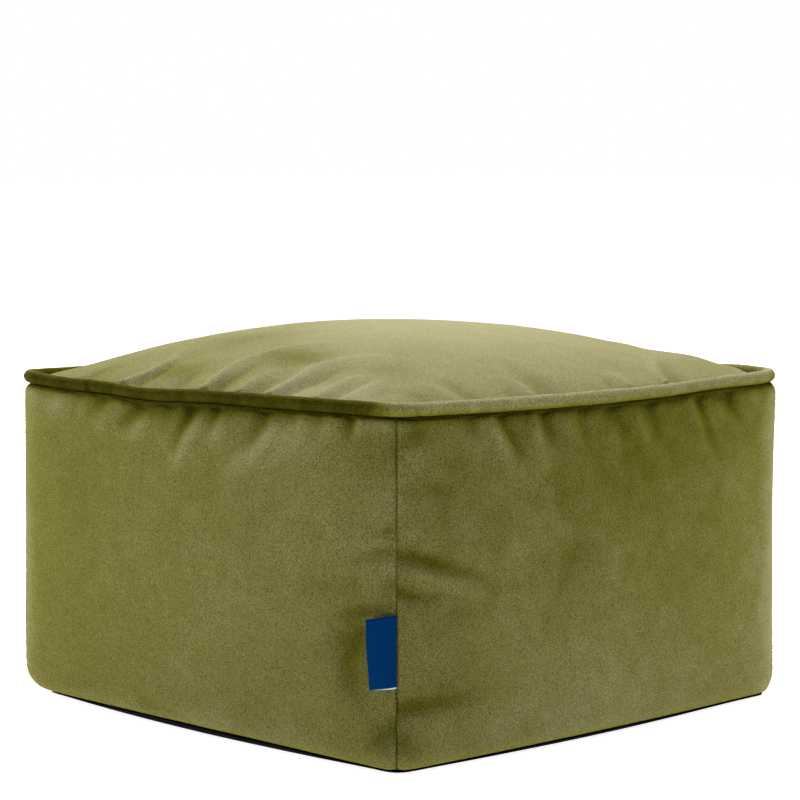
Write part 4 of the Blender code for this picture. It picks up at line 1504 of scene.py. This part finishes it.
def pileGroup(values):
    # short pile: speckle of single tufts, wider brushed patches, and the lay of the nap from the mesh, with
    # the painted shade and highlights it carries
    group, entry = newGroup("shortPile", values)
    where = group.nodes.new("ShaderNodeTexCoord").outputs["Object"]
    tufts = noiseNode(group, where, entry["Tufts per Metre"], detail=1.0, roughness=0.5, distortion=1.1)
    crisp = group.nodes.new("ShaderNodeMapRange")  # clumps of pile with clear edges
    crisp.interpolation_type = "SMOOTHSTEP"
    crisp.inputs["From Min"].default_value, crisp.inputs["From Max"].default_value = pileForm["clumpEdges"]
    group.links.new(tufts, crisp.inputs["Value"])
    finer = mathNode(group, "MULTIPLY", entry["Tufts per Metre"], pileForm["tipsPerTuft"])
    tips = noiseNode(group, where, finer, detail=1.0, roughness=0.6, distortion=0.5)
    patches = noiseNode(group, where, entry["Patches per Metre"], detail=3.0, roughness=0.55, distortion=0.8)
    # the mesh's nap mark: the pile's lay together with painted shade and highlights
    lay = group.nodes.new("ShaderNodeAttribute")
    lay.attribute_name = "nap"
    clumps = mathNode(
        group, "MULTIPLY_ADD", crisp.outputs["Result"], pileForm["clumpShare"], pileForm["middle"],
    )
    speckle = mathNode(group, "MULTIPLY_ADD", tips, pileForm["tipShare"], clumps)
    drift = mathNode(group, "SUBTRACT", patches, 0.5)
    tone = mathNode(group, "MULTIPLY_ADD", lay.outputs["Fac"], 0.5, 0.5)
    tone = mathNode(group, "MULTIPLY_ADD", drift, entry["Patch Contrast"], tone)
    colour = entry["Deep"]
    for title, (start, end) in pileForm["stops"].items():
        share = mathNode(group, "MULTIPLY_ADD", tone, 1 / (end - start), -start / (end - start))
        colour = blendNode(group, share, colour, entry[title])
    lightLay = mathNode(group, "MAXIMUM", lay.outputs["Fac"], 0.0)
    calm = mathNode(group, "MULTIPLY", lightLay, entry["Calm where Light"])
    contrast = mathNode(group, "MULTIPLY", entry["Tuft Contrast"], mathNode(group, "SUBTRACT", 1.0, calm))
    colour = scaleNode(group, colour, mathNode(group, "MULTIPLY_ADD", speckle, contrast, 1.0))
    roughness = mathNode(group, "MULTIPLY_ADD", speckle, *pileForm["roughness"])
    return finishGroup(group, colour, speckle, roughness)


weaveForm = {
    "wander": 180.0,  # waves a metre in which the threads stray
    "slubs": 950.0,  # a metre, thicker places of the threads
    "relief": 0.5,
    "roughness": (0.15, 0.7),  # slope with the crossings, and value without
}


def weaveGroup(values):
    # plain weave over the cloth's own flat place: each thread goes over one and under the next
    group, entry = newGroup("plainWeave", values)
    where = group.nodes.new("ShaderNodeTexCoord").outputs
    split = group.nodes.new("ShaderNodeSeparateXYZ")
    group.links.new(where["UV"], split.inputs["Vector"])
    wander = noiseNode(group, where["Object"], weaveForm["wander"], detail=2.0, roughness=0.5)
    threads = mathNode(group, "MULTIPLY", entry["Threads per Metre"], math.pi)
    across = mathNode(group, "MULTIPLY_ADD", split.outputs["X"], threads, wander)
    along = mathNode(group, "MULTIPLY_ADD", split.outputs["Y"], threads, wander)
    warp, weft = mathNode(group, "SINE", across), mathNode(group, "SINE", along)
    over = mathNode(group, "MULTIPLY_ADD", mathNode(group, "MULTIPLY", warp, weft), 0.5, 0.5)
    ridge = mathNode(group, "ABSOLUTE", mathNode(group, "ADD", warp, weft))
    slubs = noiseNode(group, where["Object"], weaveForm["slubs"], detail=2.0, roughness=0.6)
    shade = mathNode(group, "MULTIPLY_ADD", mathNode(group, "SUBTRACT", slubs, 0.5), entry["Unevenness"], 1.0)
    colour = scaleNode(group, blendNode(group, over, entry["Warp"], entry["Weft"]), shade)
    height = mathNode(group, "MULTIPLY", ridge, weaveForm["relief"])
    roughness = mathNode(group, "MULTIPLY_ADD", over, *weaveForm["roughness"])
    return finishGroup(group, colour, height, roughness)


threadForm = {
    "roughness": (-0.2, 0.75),
}


def threadGroup(values):
    # a twisted sewing thread
    group, entry = newGroup("twistedThread", values)
    where = group.nodes.new("ShaderNodeTexCoord").outputs["Object"]
    split = group.nodes.new("ShaderNodeSeparateXYZ")
    group.links.new(where, split.inputs["Vector"])
    slant = mathNode(group, "ADD", split.outputs["X"], split.outputs["Y"])
    slant = mathNode(group, "ADD", split.outputs["Z"], slant)
    twists = mathNode(group, "MULTIPLY", entry["Twists per Metre"], 2 * math.pi)
    turn = mathNode(group, "MULTIPLY", slant, twists)
    ply = mathNode(group, "MULTIPLY_ADD", mathNode(group, "SINE", turn), 0.5, 0.5)
    colour = blendNode(group, ply, entry["Deep"], entry["Light"])
    return finishGroup(group, colour, ply, mathNode(group, "MULTIPLY_ADD", ply, *threadForm["roughness"]))


bumpStrength = 0.7
looks = {
    "velvet": {
        "group": pileGroup, "roughness": 0.9, "specular": 0.015, "bumpHeight": 0.0008,
        "sheen": {"Weight": 0.47, "Roughness": 0.35, "Tint": (0.85, 0.81, 0.06, 1)},
        "values": {
            "Deep": (0.010, 0.008, 0.0, 1),
            "Shade": (0.0885, 0.080, 0.010, 1),
            "Middle": (0.169, 0.155, 0.050, 1),
            "Light": (0.418, 0.386, 0.237, 1),
            "Tufts per Metre": 800.0,
            "Tuft Contrast": 1.20,
            "Calm where Light": 0.63,
            "Patches per Metre": 34.0,
            "Patch Contrast": 0.16,
        },
    },
    "pipingVelvet": {
        "group": pileGroup, "roughness": 0.9, "specular": 0.02, "bumpHeight": 0.0006,
        "values": {
            "Deep": (0.014, 0.011, 0.0, 1),
            "Shade": (0.082, 0.0735, 0.004, 1),
            "Middle": (0.150, 0.136, 0.018, 1),
            "Light": (0.370, 0.340, 0.170, 1),
            "Tufts per Metre": 760.0,
            "Tuft Contrast": 0.95,
            "Calm where Light": 0.0,
            "Patches per Metre": 60.0,
            "Patch Contrast": 0.16,
        },
    },
    "labelWeave": {
        "group": weaveGroup, "roughness": 0.8, "specular": 0.02, "bumpHeight": 0.0002,
        "values": {
            "Warp": (0.0, 0.024, 0.098, 1),
            "Weft": (0.0, 0.031, 0.120, 1),
            "Threads per Metre": 1500.0,
            "Unevenness": 1.3,
        },
    },
    "labelReverse": {
        "group": weaveGroup, "roughness": 0.8, "specular": 0.02, "bumpHeight": 0.0002,
        "values": {
            "Warp": (0.62, 0.64, 0.68, 1),
            "Weft": (0.45, 0.48, 0.54, 1),
            "Threads per Metre": 1500.0,
            "Unevenness": 0.3,
        },
    },
    "baseWeave": {
        "group": weaveGroup, "roughness": 0.8, "specular": 0.02, "bumpHeight": 0.0002,
        "values": {
            "Warp": (0.0004, 0.0004, 0.0004, 1),
            "Weft": (0.0012, 0.0012, 0.0011, 1),
            "Threads per Metre": 700.0,
            "Unevenness": 0.3,
        },
    },
    "sewingThread": {
        "group": threadGroup, "roughness": 0.7, "specular": 0.1, "bumpHeight": 0.0001,
        "values": {
            "Deep": (0.006, 0.005, 0.001, 1),
            "Light": (0.040, 0.036, 0.006, 1),
            "Twists per Metre": 1400.0,
        },
    },
}
groups = {}


def clothMaterial(name):
    # its group's colour, roughness and height go to the shader; a group is made at its first use
    look = looks[name]
    material, shader = newMaterial(name, look["roughness"])
    nodes, links = material.node_tree.nodes, material.node_tree.links
    if look["group"] not in groups:
        groups[look["group"]] = look["group"](look["values"])
    cloth = nodes.new("ShaderNodeGroup")
    cloth.node_tree = groups[look["group"]]
    for title, value in look["values"].items():
        cloth.inputs[title].default_value = value
    bump = nodes.new("ShaderNodeBump")
    bump.inputs["Strength"].default_value = bumpStrength
    bump.inputs["Distance"].default_value = look["bumpHeight"]
    links.new(cloth.outputs["Height"], bump.inputs["Height"])
    links.new(bump.outputs["Normal"], shader.inputs["Normal"])
    links.new(cloth.outputs["Colour"], shader.inputs["Base Color"])
    links.new(cloth.outputs["Roughness"], shader.inputs["Roughness"])
    shader.inputs["Specular IOR Level"].default_value = look["specular"]
    for title, value in look.get("sheen", {}).items():
        shader.inputs["Sheen " + title].default_value = value
    return material


makeCamera()
makeStudio()
finishCube()
makePiping()
makeStitches()
makeBaseCloth()
makeLabel()
